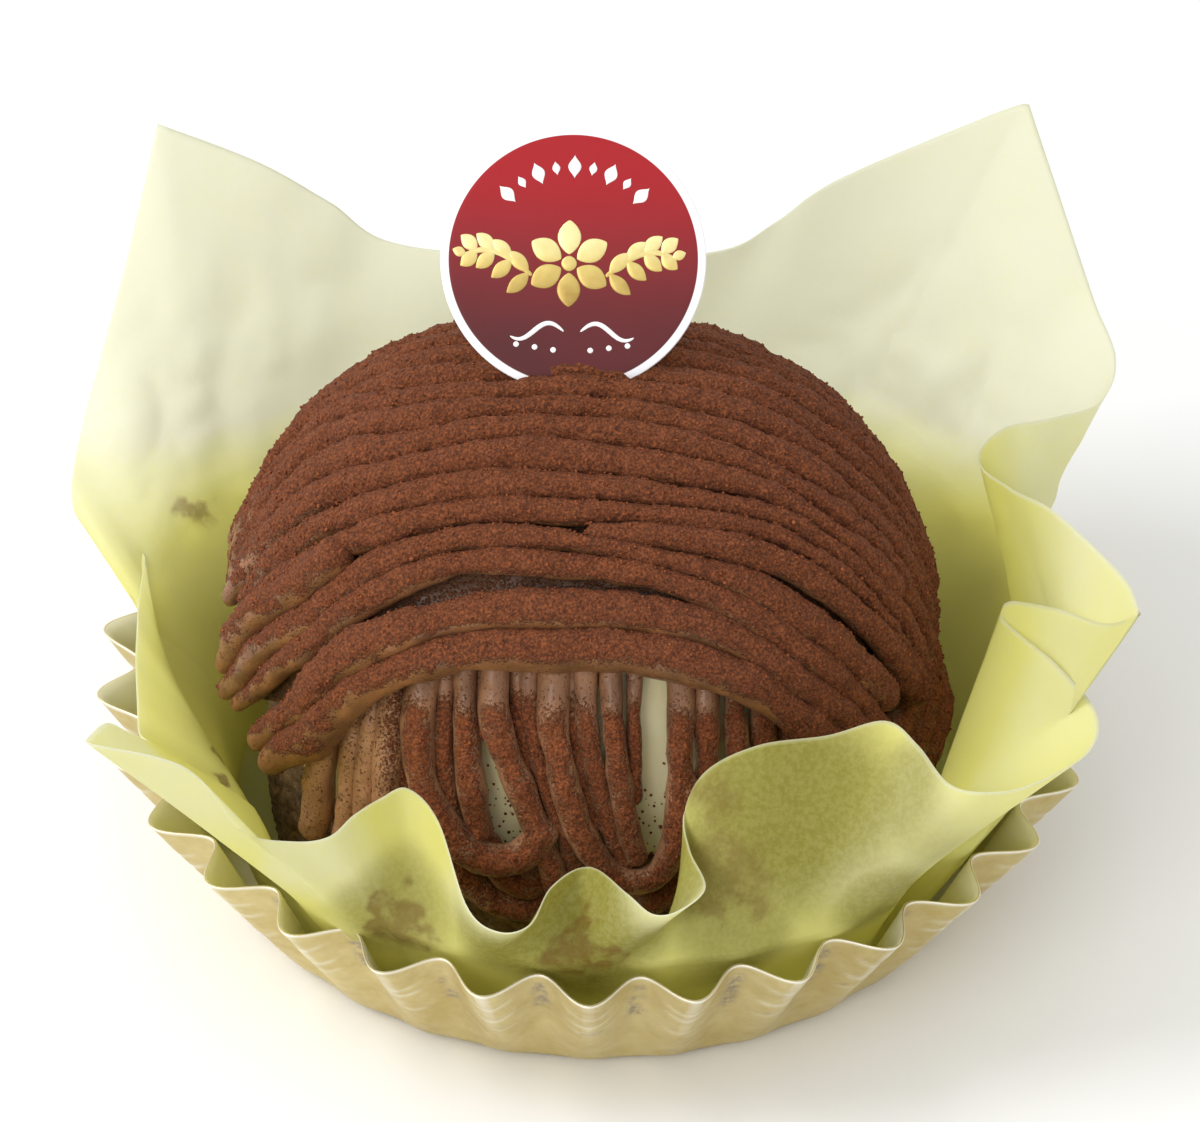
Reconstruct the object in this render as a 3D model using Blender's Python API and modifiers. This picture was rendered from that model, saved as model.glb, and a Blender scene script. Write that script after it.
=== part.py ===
"""Dome-shaped chestnut cream cake in a pleated gold cup, with a square paper sheet and a round pick.

The frame has its origin at the centre of the cup's flat underside, +Z up and the front towards -Y.
Every size below is in millimetres and is turned into metres when a mesh is made.
"""
import math

import bmesh
import bpy
import numpy as np
from mathutils import Matrix

MM = 0.001
SHARP_ANGLE_DEG = 50.0
WELD_DISTANCE = 0.00001

# Gold cup: a flat foot and a pleated wall that flares out to a wavy rim
CUP_FOOT_RADIUS = 38.2
CUP_TIP_RADIUS = 50.0
CUP_FOLD_RADIUS = 45.8
CUP_HEIGHT = 17.6
CUP_WALL = 0.35
CUP_FLUTES = 30
CUP_FIRST_TIP_DEG = -198.4
CUP_WAVE_POWER = 0.8
CUP_STEPS_PER_FLUTE = 4
CUP_WALL_ROWS = 2
CUP_EDGE_ROUND = 1.0

# Paper sheet: a square, its middle flat in the cup, its four corners standing up
PAPER_THICKNESS = 0.25
PAPER_FLOOR_Z = 0.85
PAPER_FLOOR_RADIUS = 36.2
PAPER_KNEE_Z = 19.4
PAPER_LOW_EDGE_Z = 25.0
PAPER_LOW_BLEND = 2.5
PAPER_LOW_KNEE_DROP = 1.5
# Above the knee the sheet leans between the wall's direction and the edge's
PAPER_GUIDE_SHARE = 0.24
PAPER_GUIDE_TO_EDGE = 2.0
# Below the knee it bows in towards a point beside the cake
PAPER_BOW_OUT = 0.6
PAPER_BOW_Z = 12.5
PAPER_COLUMNS = 104
PAPER_ROWS_BELOW_KNEE = 2
PAPER_ROWS_ABOVE_KNEE = 3
# The sheet's edge walked round clockwise from above, one list for each side of the square.
# Each station is x, y, z and the radius at which the sheet passes the cup's rim below it.
PAPER_SIDES = (
    (100.0, (  # back side, from the back left corner
        (-46.0, 50.0, 48.0, 45.9),
        (-36.0, 50.0, 43.5, 45.9),
        (-28.5, 50.0, 38.5, 45.9),
        (-21.0, 49.5, 33.5, 45.9),
        (-0.5, 49.0, 32.5, 45.9),
        (12.0, 49.5, 33.5, 45.9),
        (17.5, 50.5, 36.5, 45.9),
        (23.5, 51.0, 41.5, 45.9),
        (38.0, 52.5, 48.5, 45.9),
    )),
    (10.0, (  # right side, from the back right corner
        (43.0, 53.0, 50.5, 45.9),
        (47.5, 44.0, 41.0, 45.9),
        (50.0, 38.5, 36.0, 45.9),
        (52.0, 31.5, 34.0, 46.0),
        (50.0, 25.0, 33.5, 45.5),
        (45.0, 21.5, 34.0, 44.5),
        (40.0, 19.5, 34.0, 43.0),
        (37.5, 15.5, 33.0, 42.0),
        (40.5, 10.0, 34.0, 43.5),
        (44.5, 2.0, 37.5, 45.5),
        (50.5, -11.5, 40.5, 45.9),
    )),
    (-80.0, (  # front side, from the front right corner
        (52.0, -20.0, 42.5, 45.9),
        (49.0, -16.0, 38.0, 45.9),
        (45.0, -9.0, 34.0, 45.0),
        (40.5, -5.0, 31.5, 42.5),
        (39.5, -6.5, 31.0, 42.0),
        (41.5, -11.0, 32.0, 43.0),
        (44.5, -17.0, 33.5, 45.0),
        (48.0, -24.0, 33.5, 45.9),
        (47.0, -30.5, 34.0, 45.9),
        (41.5, -37.0, 35.5, 45.9),
        (37.5, -39.0, 36.0, 45.9),
        (33.5, -38.0, 36.0, 45.5),
        (30.5, -33.5, 37.0, 43.5),
        (27.5, -30.0, 37.0, 42.0),
        (22.0, -30.5, 35.5, 41.5),
        (15.5, -31.5, 35.0, 41.0),
        (10.5, -32.5, 32.5, 41.0),
        (8.5, -34.5, 29.0, 41.5),
        (9.0, -40.0, 29.0, 43.5),
        (10.5, -46.0, 29.5, 45.5),
        (8.0, -49.5, 29.5, 45.9),
        (5.5, -50.0, 29.5, 45.9),
        (3.0, -47.0, 29.5, 45.0),
        (-0.5, -41.0, 27.5, 43.0),
        (-4.0, -44.0, 27.5, 44.5),
        (-6.0, -50.0, 28.0, 45.9),
        (-9.0, -50.5, 27.5, 45.9),
        (-12.0, -47.0, 27.5, 45.5),
        (-15.0, -37.0, 29.5, 42.5),
        (-18.0, -33.5, 30.5, 41.5),
        (-20.5, -35.0, 30.5, 42.5),
        (-23.0, -38.2, 31.0, 44.5),
        (-25.2, -41.4, 31.0, 45.6),
        (-28.6, -42.2, 31.0, 45.9),
        (-33.5, -43.5, 33.5, 46.8),
        (-38.5, -44.0, 41.5, 47.3),
    )),
    (190.0, (  # left side, from the front left corner
        (-48.0, -43.5, 44.0, 47.3),
        (-46.3, -39.6, 43.0, 47.0),
        (-44.8, -34.5, 38.0, 45.5),
        (-43.6, -22.9, 27.0, 41.5),
        (-44.9, -15.3, 21.5, 40.2),
        (-45.4, -9.7, 21.0, 39.8),
        (-45.9, -3.5, 21.0, 40.0),
        (-46.0, 0.5, 21.2, 40.2),
        (-46.1, 5.0, 21.0, 41.0),
        (-46.0, 9.5, 21.0, 42.0),
        (-45.9, 13.1, 21.2, 43.0),
        (-47.8, 14.6, 20.6, 43.4),
        (-50.3, 17.0, 20.4, 43.8),
        (-52.6, 17.6, 21.5, 44.2),
        (-53.6, 19.5, 24.0, 44.8),
        (-53.0, 26.0, 26.5, 45.7),
        (-51.0, 33.0, 32.0, 45.9),
        (-48.5, 41.5, 39.0, 45.9),
    )),
)

# Dome of the cake: half widths, height above its widest level, and how square it is
DOME_CENTRE_X = -1.9
DOME_HALF_X = 37.2
DOME_HALF_Y = 33.0
DOME_RISE = 40.5
DOME_BASE_Z = 15.0
DOME_SQUARE_X = 2.65
DOME_SQUARE_Z = 2.15

# Upper strands from the front to the back of the dome: radius, heights of the left and the right end,
# and the y of the strand's line at six stations from left to right
UPPER_DEPTH = 2.0
UPPER_FIRST_STATION = -28.0
UPPER_STATION_STEP = 9.4
UPPER_LEFT_POWER = 0.7
UPPER_RIGHT_POWER = 0.35
UPPER_SPACING = 8.0
UPPER_STRANDS = (
    (2.15, 20.8, 22.5, (-21.4, -22.9, -23.3, -23.4, -23.6, -23.1)),
    (1.95, 22.6, 23.0, (-19.8, -20.8, -21.2, -21.2, -21.7, -21.5)),
    (1.35, 23.6, 24.0, (-17.4, -17.8, -18.3, -18.7, -19.3, -20.0)),
    (1.55, 22.7, 26.8, (-15.7, -15.7, -16.3, -16.9, -17.9, -18.0)),
    (1.55, 30.0, 37.5, (-15.7, -15.9, -16.0, -16.0, -16.1, -15.3)),
    (2.00, 22.6, 30.0, (-12.9, -13.6, -13.6, -13.6, -13.6, -13.6)),
    (1.60, 26.0, 22.8, (-11.8, -13.6, -14.2, -14.4, -14.2, -13.2)),
    (1.75, 30.2, 24.0, (-9.3, -11.4, -12.0, -12.5, -12.7, -11.6)),
    (1.75, 28.5, 34.8, (-6.2, -8.5, -8.8, -9.5, -10.3, -10.0)),
    (1.60, 29.0, 24.5, (-2.2, -5.7, -5.8, -6.3, -7.6, -7.9)),
    (1.55, 26.0, 25.0, (2.2, -2.6, -3.3, -3.7, -5.0, -4.9)),
    (1.45, 27.0, 25.0, (6.0, 0.4, -0.6, -1.4, -1.9, -1.7)),
    (1.65, 25.0, 26.0, (8.0, 3.4, 2.4, 1.7, 1.4, 1.2)),
    (1.70, 27.0, 25.5, (10.1, 6.4, 5.4, 4.8, 4.7, 4.3)),
    (1.75, 24.5, 27.0, (12.0, 9.2, 8.4, 7.9, 7.7, 7.1)),
    (1.70, 26.0, 24.0, (13.9, 11.8, 11.2, 10.9, 10.7, 9.9)),
    (1.75, 23.5, 25.5, (15.6, 14.3, 13.9, 13.8, 13.5, 12.5)),
    (1.70, 25.0, 26.0, (17.3, 16.7, 16.6, 16.5, 16.1, 15.0)),
    (1.75, 23.5, 25.0, (18.8, 18.9, 19.1, 19.1, 18.6, 17.4)),
    (1.70, 25.5, 24.5, (20.1, 20.9, 21.4, 21.5, 20.9, 19.5)),
    (1.80, 24.0, 27.0, (21.3, 22.8, 23.5, 23.6, 23.0, 21.5)),
)
# Strands that start or stop on top of the others: first and last x
UPPER_STOPS = {
    4: (-1.5, 40.0),
    5: (-40.0, -23.6),
}
# Thin core under the upper strands: depth, thickness, front and back angle, reach along x, lowest z, grid
UPPER_CORE = (3.1, 1.1, (46.0, 134.0), 29.0, 30.0, (10, 8))

# Lower strands: they lie on a smaller dome, flare out at the foot and hang straight down below its base
LOWER_DEPTH = 5.9
LOWER_FLARE = 1.3
LOWER_FLARE_ANGLE = 38.0
LOWER_SPACING = 6.0
LOWER_CORE = (5.9, 1.2, (38.5, 141.5), 27.5, 32.0, (8, 8))
# The strands stand out only below the upper strands: heights where that starts and is complete
STAND_OUT_FROM_Z = 35.0
STAND_OUT_FULL_Z = 28.0
# Front strands: radius, how far it stands out, and x and z of the points it passes
FRONT_STRANDS = (
    (1.45, 0.2, ((-25.4, 36.0), (-26.0, 27.0), (-27.1, 19.0), (-27.6, 12.0))),
    (1.25, 0.0, ((-23.4, 36.0), (-23.6, 27.0), (-24.4, 18.0), (-24.9, 12.0))),
    (1.15, 0.1, ((-21.6, 36.0), (-21.8, 27.0), (-22.4, 18.0), (-22.8, 12.0))),
    (1.35, 0.3, ((-19.7, 37.0), (-19.9, 28.0), (-20.2, 19.0), (-20.6, 12.0))),
    (1.30, 0.0, ((-12.6, 38.0), (-12.6, 32.0), (-11.9, 25.5), (-10.9, 19.0))),
    (1.20, -0.2, ((-6.7, 38.0), (-6.4, 32.0), (-5.0, 26.0), (-2.8, 20.0), (-1.2, 14.0))),
    (1.15, 0.0, ((-1.5, 38.0), (-1.2, 32.0), (-0.1, 26.0), (1.8, 19.5), (3.4, 16.5))),
    (1.15, 0.1, ((1.2, 38.0), (1.4, 32.0), (2.2, 26.0), (3.4, 20.0), (4.4, 17.0))),
    (1.25, 0.3, ((10.4, 38.0), (10.7, 31.0), (11.0, 24.0), (11.4, 13.0))),
    (1.30, 0.2, ((13.0, 38.0), (13.3, 31.0), (13.8, 24.0), (14.2, 13.0))),
    (1.30, 0.0, ((15.5, 37.0), (15.9, 30.0), (16.5, 22.0), (16.9, 13.0))),
    (1.30, 0.0, ((18.0, 37.0), (18.4, 30.0), (19.0, 22.0), (19.4, 13.0))),
    (1.30, 0.0, ((20.4, 36.0), (20.9, 29.0), (21.7, 21.0), (22.1, 14.0))),
    (1.30, 0.0, ((22.8, 35.0), (23.4, 28.0), (24.2, 21.0), (24.6, 15.0))),
    # low bends under the loops
    (1.50, -0.7, ((-14.5, 20.0), (-12.8, 14.5), (-10.0, 11.2), (-6.5, 10.4), (-3.5, 12.5), (-2.0, 16.0))),
    (1.50, -0.3, ((-2.6, 14.2), (2.0, 12.2), (6.0, 12.2), (10.4, 14.6))),
    # loops, with a strand that crosses the end of the first one
    (1.65, 0.8, ((-16.4, 38.0), (-17.1, 30.0), (-16.6, 25.5), (-14.6, 21.3), (-11.2, 18.3), (-8.2, 18.0),
                 (-5.9, 19.8), (-4.6, 22.5))),
    (1.45, 0.9, ((-9.9, 38.0), (-9.6, 32.0), (-8.0, 28.0), (-6.0, 23.0), (-4.3, 18.0), (-2.8, 12.0))),
    (1.40, 0.9, ((-4.2, 38.0), (-4.2, 32.0), (-3.2, 27.0), (-1.7, 22.0), (0.5, 18.2), (3.3, 15.9),
                 (5.8, 16.4), (7.5, 19.5), (8.2, 25.0), (8.1, 31.0), (8.0, 38.0))),
)
# Back strands: how many, radius, x of the first and the step, at the top and at the foot, top, middle
# and foot height
BACK_COUNT = 12
BACK_RADIUS = 1.75
BACK_TOP = (-25.5, 4.3)
BACK_FOOT = (-26.5, 4.5)
BACK_TOP_Z = 39.0
BACK_MIDDLE_Z = 26.0
BACK_FOOT_Z = (11.5, 1.8)
# Strands that lie along the right flank: height, front end and back end
FLANK_STRANDS = (
    (21.5, -13.0, 12.0),
    (18.0, -16.0, 14.0),
    (14.5, -14.0, 10.0),
)
FLANK_X = 33.8
FLANK_RADIUS = 1.8
FLANK_BEND_IN = 0.022
FLANK_BEND_DOWN = 0.006
FLANK_MIDDLE_Z = 14.5
FLANK_LEAN = 0.25
# Hidden rib that joins the flank strands to the core: x and z of the points it passes
FLANK_RIB_RADIUS = 1.5
FLANK_RIB = ((18.0, 44.3), (22.0, 40.3), (25.5, 34.7), (28.0, 27.6), (29.6, 20.5), (31.6, 12.6))

# Strand meshes: share of the radius at both ends, and steps with which a line is followed
STRAND_END_SHARE = 0.55
LINE_STEPS = 240

# Whipped cream and sponge
CREAM_DEPTH = 8.2
CREAM_FLOOR_Z = 15.4
SPONGE_HALF_X = 31.0
SPONGE_HALF_Y = 26.0
SPONGE_FLOOR_Z = 1.3
SPONGE_TOP_Z = 15.0
SPONGE_EDGE = 1.2
SPONGE_SEGMENTS = 28
CREAM_SEGMENTS = 20
CREAM_RINGS = 14

# Pick: a round plate leaning back, with a stem pushed into the top of the cake
PICK_RADIUS = 12.9
PICK_THICKNESS = 0.5
PICK_LEAN_DEG = 39.0
PICK_CENTRE = (-3.1, 7.8, 63.0)
PICK_STEM_WIDTH = 6.0
PICK_STEM_LENGTH = 8.5
PICK_SHOULDER_SHARE = 0.6
PICK_STEPS = 40
PICK_GAP = 0.35
PICK_SLOT_EXTRA = 1.0

COLOURS = {
    "gold_cup": ((0.62, 0.50, 0.26), 0.35, 0.8),
    "paper_liner": ((0.78, 0.78, 0.48), 0.6, 0.0),
    "sponge_base": ((0.16, 0.08, 0.04), 0.9, 0.0),
    "whipped_cream": ((0.80, 0.76, 0.62), 0.5, 0.0),
    "lower_strands": ((0.36, 0.18, 0.10), 0.6, 0.0),
    "upper_strands": ((0.27, 0.11, 0.06), 0.8, 0.0),
    "pick": ((0.45, 0.03, 0.04), 0.3, 0.0),
}


def clear_scene():
    """Removes every object that is already in the file."""
    for obj in list(bpy.data.objects):
        bpy.data.objects.remove(obj, do_unlink=True)


def new_collection(name):
    """A collection linked to the scene."""
    collection = bpy.data.collections.new(name)
    bpy.context.scene.collection.children.link(collection)
    return collection


def finish_material(name):
    """Principled material with the colour, roughness and metallic value of one piece."""
    colour, roughness, metallic = COLOURS[name]
    material = bpy.data.materials.new(name + "_finish")
    material.use_nodes = True
    shader = material.node_tree.nodes["Principled BSDF"]
    shader.inputs["Base Color"].default_value = (*colour, 1.0)
    shader.inputs["Roughness"].default_value = roughness
    shader.inputs["Metallic"].default_value = metallic
    return material


def add_object(name, mesh, collection, finish=True):
    """Links a mesh as a named object, with its own material when it is a finished piece."""
    obj = bpy.data.objects.new(name, mesh)
    collection.objects.link(obj)
    if finish:
        mesh.materials.append(finish_material(name))
        mesh.shade_smooth()
        mesh.set_sharp_from_angle(angle=math.radians(SHARP_ANGLE_DEG))
    return obj


def grid_faces(columns, rows, wrap):
    """Quads of a grid numbered column by column; wrap joins the last column to the first."""
    faces = []
    for i in range(columns if wrap else columns - 1):
        j = (i + 1) % columns
        for k in range(rows - 1):
            faces.append((i * rows + k, j * rows + k, j * rows + k + 1, i * rows + k + 1))
    return faces


def mesh_from(name, points, faces):
    """Mesh from points in millimetres, with its faces made to agree."""
    mesh = bpy.data.meshes.new(name)
    mesh.from_pydata([tuple(MM * float(c) for c in p) for p in points], [], faces)
    mesh.update()
    return mesh


def recalculate_normals(mesh):
    """Turns all faces of a closed mesh outwards."""
    work = bmesh.new()
    work.from_mesh(mesh)
    bmesh.ops.recalc_face_normals(work, faces=work.faces)
    work.to_mesh(mesh)
    work.free()


def add_solidify(obj, thickness, offset):
    """Gives an open sheet its thickness."""
    modifier = obj.modifiers.new("thickness", "SOLIDIFY")
    modifier.thickness = thickness * MM
    modifier.offset = offset


def apply_modifiers(obj):
    """Replaces the object's mesh with its evaluated form."""
    graph = bpy.context.evaluated_depsgraph_get()
    mesh = bpy.data.meshes.new_from_object(obj.evaluated_get(graph))
    obj.modifiers.clear()
    obj.data = mesh


def largest_shell(obj):
    """Drops loose scraps and sealed hollows, which are separate shells of the mesh."""
    work = bmesh.new()
    work.from_mesh(obj.data)
    bmesh.ops.triangulate(work, faces=work.faces)
    todo = set(work.faces)
    shells = []
    while todo:
        stack = [todo.pop()]
        shell = []
        while stack:
            face = stack.pop()
            shell.append(face)
            for edge in face.edges:
                for other in edge.link_faces:
                    if other in todo:
                        todo.remove(other)
                        stack.append(other)
        shells.append(shell)
    shells.sort(key=len, reverse=True)
    for shell in shells[1:]:
        bmesh.ops.delete(work, geom=shell, context="FACES")
    work.to_mesh(obj.data)
    work.free()


def boolean(obj, operation, operand=None, collection=None):
    """Applies one Boolean with an object or with all objects of a collection."""
    modifier = obj.modifiers.new("joint", "BOOLEAN")
    modifier.operation = operation
    modifier.solver = "EXACT"
    if collection is not None:
        modifier.operand_type = "COLLECTION"
        modifier.collection = collection
    else:
        modifier.object = operand
    apply_modifiers(obj)


def smooth_step(value):
    """Cubic ramp from 0 to 1."""
    t = min(max(value, 0.0), 1.0)
    return t * t * (3.0 - 2.0 * t)


def dome_section(x, depth):
    """Share of the dome's full section that is left at x, for a surface set in by depth."""
    across = abs(x - DOME_CENTRE_X) / (DOME_HALF_X - depth)
    return max(1.0 - across ** DOME_SQUARE_X, 0.0) ** (1.0 / DOME_SQUARE_Z)


def dome_height(x, y, depth):
    """Height of the dome's surface over a point, or None outside it."""
    inside = dome_section(x, depth) ** 2 - (y / (DOME_HALF_Y - depth)) ** 2
    if inside < 0.0:
        return None
    return DOME_BASE_Z + (DOME_RISE - depth) * math.sqrt(inside)


def dome_point(x, angle, depth):
    """Point of the dome at x and at an angle that is 0 at the front, 90 at the top, 180 at the back."""
    section = dome_section(x, depth)
    turn = math.radians(angle)
    y = -(DOME_HALF_Y - depth) * section * math.cos(turn)
    z = DOME_BASE_Z + (DOME_RISE - depth) * section * math.sin(turn)
    return (x, y, z)


def even_points(points, spacing):
    """Points at equal steps along a polyline, about the given spacing apart and at least four."""
    path = np.array(points, dtype=float)
    steps = np.linalg.norm(np.diff(path, axis=0), axis=1)
    length = np.concatenate([[0.0], np.cumsum(steps)])
    wanted = np.linspace(0.0, length[-1], max(round(length[-1] / spacing) + 1, 4))
    return [[float(np.interp(w, length, path[:, axis])) for axis in range(3)] for w in wanted]


def spline_at(rows, place):
    """Catmull-Rom spline through rows at whole numbers, read at one place."""
    rows = np.array(rows, dtype=float)
    rows = np.concatenate([[2.0 * rows[0] - rows[1]], rows, [2.0 * rows[-1] - rows[-2]]])
    i = min(max(int(place), 0), len(rows) - 4)
    t = place - i
    p0, p1, p2, p3 = rows[i:i + 4]
    return 0.5 * (2 * p1 + (p2 - p0) * t + (2 * p0 - 5 * p1 + 4 * p2 - p3) * t ** 2
                  + (3 * p1 - p0 - 3 * p2 + p3) * t ** 3)


def strand_mesh(name, points, radius, collection):
    """Round-ended strand: a bevelled curve made a closed mesh."""
    curve = bpy.data.curves.new(name, "CURVE")
    curve.dimensions = "3D"
    curve.bevel_depth = radius * MM
    curve.bevel_resolution = 1
    curve.use_fill_caps = True
    spline = curve.splines.new("POLY")
    spline.points.add(len(points) - 1)
    for index, (target, point) in enumerate(zip(spline.points, points)):
        target.co = (*(MM * c for c in point), 1.0)
        at_end = index in (0, len(points) - 1)
        target.radius = STRAND_END_SHARE if at_end else 1.0
    source = bpy.data.objects.new(name, curve)
    collection.objects.link(source)
    bpy.context.view_layer.update()
    graph = bpy.context.evaluated_depsgraph_get()
    mesh = bpy.data.meshes.new_from_object(source.evaluated_get(graph))
    place = source.matrix_world.copy()
    bpy.data.objects.remove(source, do_unlink=True)
    work = bmesh.new()
    work.from_mesh(mesh)
    bmesh.ops.remove_doubles(work, verts=work.verts, dist=WELD_DISTANCE)
    bmesh.ops.recalc_face_normals(work, faces=work.faces)
    work.to_mesh(mesh)
    work.free()
    obj = bpy.data.objects.new(name, mesh)
    obj.matrix_world = place
    collection.objects.link(obj)
    return obj


def fuse(core, pieces):
    """Joins a core and the strands of a collection into one closed solid."""
    boolean(core, "UNION", collection=pieces)
    for obj in list(pieces.objects):
        bpy.data.objects.remove(obj, do_unlink=True)
    bpy.data.collections.remove(pieces)
    largest_shell(core)


def make_gold_cup(parts):
    """Flat foot and a wall whose radius waves more and more towards the rim."""
    columns = CUP_FLUTES * CUP_STEPS_PER_FLUTE
    points = [(0.0, 0.0, 0.0)]
    heights = [0.0] + [CUP_EDGE_ROUND + (CUP_HEIGHT - CUP_EDGE_ROUND) * k / CUP_WALL_ROWS
                       for k in range(CUP_WALL_ROWS + 1)]
    middle = 0.5 * (CUP_TIP_RADIUS + CUP_FOLD_RADIUS)
    swing = 0.5 * (CUP_TIP_RADIUS - CUP_FOLD_RADIUS)
    for i in range(columns):
        turn = 2.0 * math.pi * i / columns
        angle = turn + math.radians(CUP_FIRST_TIP_DEG)
        wave = math.cos(CUP_FLUTES * turn)
        for k, z in enumerate(heights):
            up = z / CUP_HEIGHT
            radius = CUP_FOOT_RADIUS + (middle - CUP_FOOT_RADIUS) * up + swing * wave * up ** CUP_WAVE_POWER
            if k == 0:
                radius = CUP_FOOT_RADIUS - CUP_EDGE_ROUND
            points.append((radius * math.cos(angle), radius * math.sin(angle), z))
    rows = len(heights)
    faces = [tuple(v + 1 for v in face) for face in grid_faces(columns, rows, True)]
    faces += [(0, 1 + ((i + 1) % columns) * rows, 1 + i * rows) for i in range(columns)]
    cup = add_object("gold_cup", mesh_from("gold_cup", points, faces), parts)
    add_solidify(cup, CUP_WALL, -1.0)
    return cup


def paper_stations():
    """All edge stations with the direction in which the flat sheet would meet them.

    On each side of the square the share of the edge walked gives the direction, as on a flat
    square sheet: the side's middle direction plus the arc tangent of 1 minus twice that share.
    """
    ends = [side[1][0] for side in PAPER_SIDES]
    table = []
    for number, (middle_deg, stations) in enumerate(PAPER_SIDES):
        walk = list(stations) + [ends[(number + 1) % len(ends)]]
        xyz = np.array([station[:3] for station in walk])
        steps = np.linalg.norm(np.diff(xyz, axis=0), axis=1)
        share = np.concatenate([[0.0], np.cumsum(steps)]) / steps.sum()
        for station, part in zip(stations, share):
            angle = math.radians(middle_deg) + math.atan(1.0 - 2.0 * float(part))
            table.append((*station, angle))
    return np.array(table)


def unwrap_down(angles):
    """Directions as one steadily falling run, with no jumps of a full turn."""
    result = [angles[0]]
    for angle in angles[1:]:
        while angle > result[-1]:
            angle -= 2.0 * math.pi
        while angle < result[-1] - 2.0 * math.pi:
            angle += 2.0 * math.pi
        result.append(angle)
    return np.array(result)


def closed_spline(values, places, corners):
    """Catmull-Rom spline through a closed run of rows. At a corner the run turns sharply, because the
    row beyond it is put straight on from the two rows before it."""
    total = len(values)
    i = np.floor(places).astype(int)
    t = (places - i)[:, None]
    p0, p1, p2, p3 = (values[(i + k) % total] for k in (-1, 0, 1, 2))
    p0 = np.where(np.isin(i, corners)[:, None], 2 * p1 - p2, p0)
    p3 = np.where(np.isin((i + 1) % total, corners)[:, None], 2 * p2 - p1, p3)
    return 0.5 * (2 * p1 + (p2 - p0) * t + (2 * p0 - 5 * p1 + 4 * p2 - p3) * t ** 2
                  + (3 * p1 - p0 - 3 * p2 + p3) * t ** 3)


def make_paper_liner(parts):
    """Loft from a flat round floor past the cup's rim to the folded square edge."""
    table = paper_stations()
    turns = unwrap_down(table[:, 4])
    total = len(turns)
    drift = turns + 2.0 * math.pi * np.arange(total) / total
    run = np.column_stack([table[:, :4], drift])
    corners = np.cumsum([0] + [len(side[1]) for side in PAPER_SIDES[:-1]])
    places = np.arange(PAPER_COLUMNS) * total / PAPER_COLUMNS
    for corner in corners:
        places[np.argmin(np.abs(places - corner))] = corner
    columns = closed_spline(run, places, corners)
    angle = columns[:, 4] - 2.0 * math.pi * places / total
    knee_radius = columns[:, 3]
    spoke = np.column_stack([np.cos(angle), np.sin(angle), np.zeros(PAPER_COLUMNS)])
    floor = spoke * PAPER_FLOOR_RADIUS + [0.0, 0.0, PAPER_FLOOR_Z]
    bow = spoke * (PAPER_FLOOR_RADIUS + PAPER_BOW_OUT) + [0.0, 0.0, PAPER_BOW_Z]
    knee = spoke * knee_radius[:, None] + [0.0, 0.0, PAPER_KNEE_Z]
    edge = columns[:, :3]
    low = np.clip((PAPER_LOW_EDGE_Z - edge[:, 2]) / PAPER_LOW_BLEND, 0.0, 1.0)
    knee[:, 2] -= PAPER_LOW_KNEE_DROP * low
    levels = [floor]
    for k in range(1, PAPER_ROWS_BELOW_KNEE + 1):
        t = k / PAPER_ROWS_BELOW_KNEE
        levels.append((1 - t) ** 2 * floor + 2 * t * (1 - t) * bow + t * t * knee)
    reach = np.linalg.norm(edge - knee, axis=1)[:, None]
    lean = (knee - floor) / np.linalg.norm(knee - floor, axis=1)[:, None]
    lean = lean + PAPER_GUIDE_TO_EDGE * (edge - knee) / reach
    lean /= np.linalg.norm(lean, axis=1)[:, None]
    for k in range(1, PAPER_ROWS_ABOVE_KNEE + 1):
        t = k / PAPER_ROWS_ABOVE_KNEE
        guide = knee + lean * reach * PAPER_GUIDE_SHARE
        levels.append((1 - t) ** 2 * knee + 2 * t * (1 - t) * guide + t * t * edge)
    rows = len(levels)
    points = [(0.0, 0.0, PAPER_FLOOR_Z)]
    for i in range(PAPER_COLUMNS):
        points += [tuple(level[i]) for level in levels]
    faces = [tuple(v + 1 for v in face) for face in grid_faces(PAPER_COLUMNS, rows, True)]
    faces += [(0, 1 + ((i + 1) % PAPER_COLUMNS) * rows, 1 + i * rows) for i in range(PAPER_COLUMNS)]
    paper = add_object("paper_liner", mesh_from("paper_liner", points, faces), parts)
    add_solidify(paper, PAPER_THICKNESS, 0.0)
    return paper


def dome_patch(name, sizes, parts):
    """Thin saddle that follows the dome between two angles, with a given thickness."""
    depth, thickness, angles, x_reach, floor_z, (columns, rows) = sizes
    points = []
    for i in range(columns):
        side = -1.0 + 2.0 * i / (columns - 1)
        x = DOME_CENTRE_X + x_reach * math.sin(0.5 * math.pi * side)
        section = dome_section(x, depth)
        low = math.degrees(math.asin(min((floor_z - DOME_BASE_Z) / ((DOME_RISE - depth) * section), 1.0)))
        start = max(angles[0], low)
        end = min(angles[1], 180.0 - low)
        for k in range(rows):
            points.append(dome_point(x, start + (end - start) * k / (rows - 1), depth))
    faces = grid_faces(columns, rows, False)
    patch = add_object(name, mesh_from(name, points, faces), parts)
    add_solidify(patch, thickness, 0.0)
    apply_modifiers(patch)
    recalculate_normals(patch.data)
    return patch


def upper_point(x, places):
    """Point of an upper strand's line at x: y follows the stations, and beyond them it shrinks as the
    dome's section to a power. None where the line has left the dome."""
    last_station = UPPER_FIRST_STATION + UPPER_STATION_STEP * (len(places) - 1)
    held = min(max(x, UPPER_FIRST_STATION), last_station)
    power = UPPER_LEFT_POWER if x < DOME_CENTRE_X else UPPER_RIGHT_POWER
    y = float(spline_at(places, (held - UPPER_FIRST_STATION) / UPPER_STATION_STEP))
    y *= (dome_section(x, UPPER_DEPTH) / dome_section(held, UPPER_DEPTH)) ** power
    z = dome_height(x, y, UPPER_DEPTH)
    return None if z is None else (x, y, z)


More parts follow.
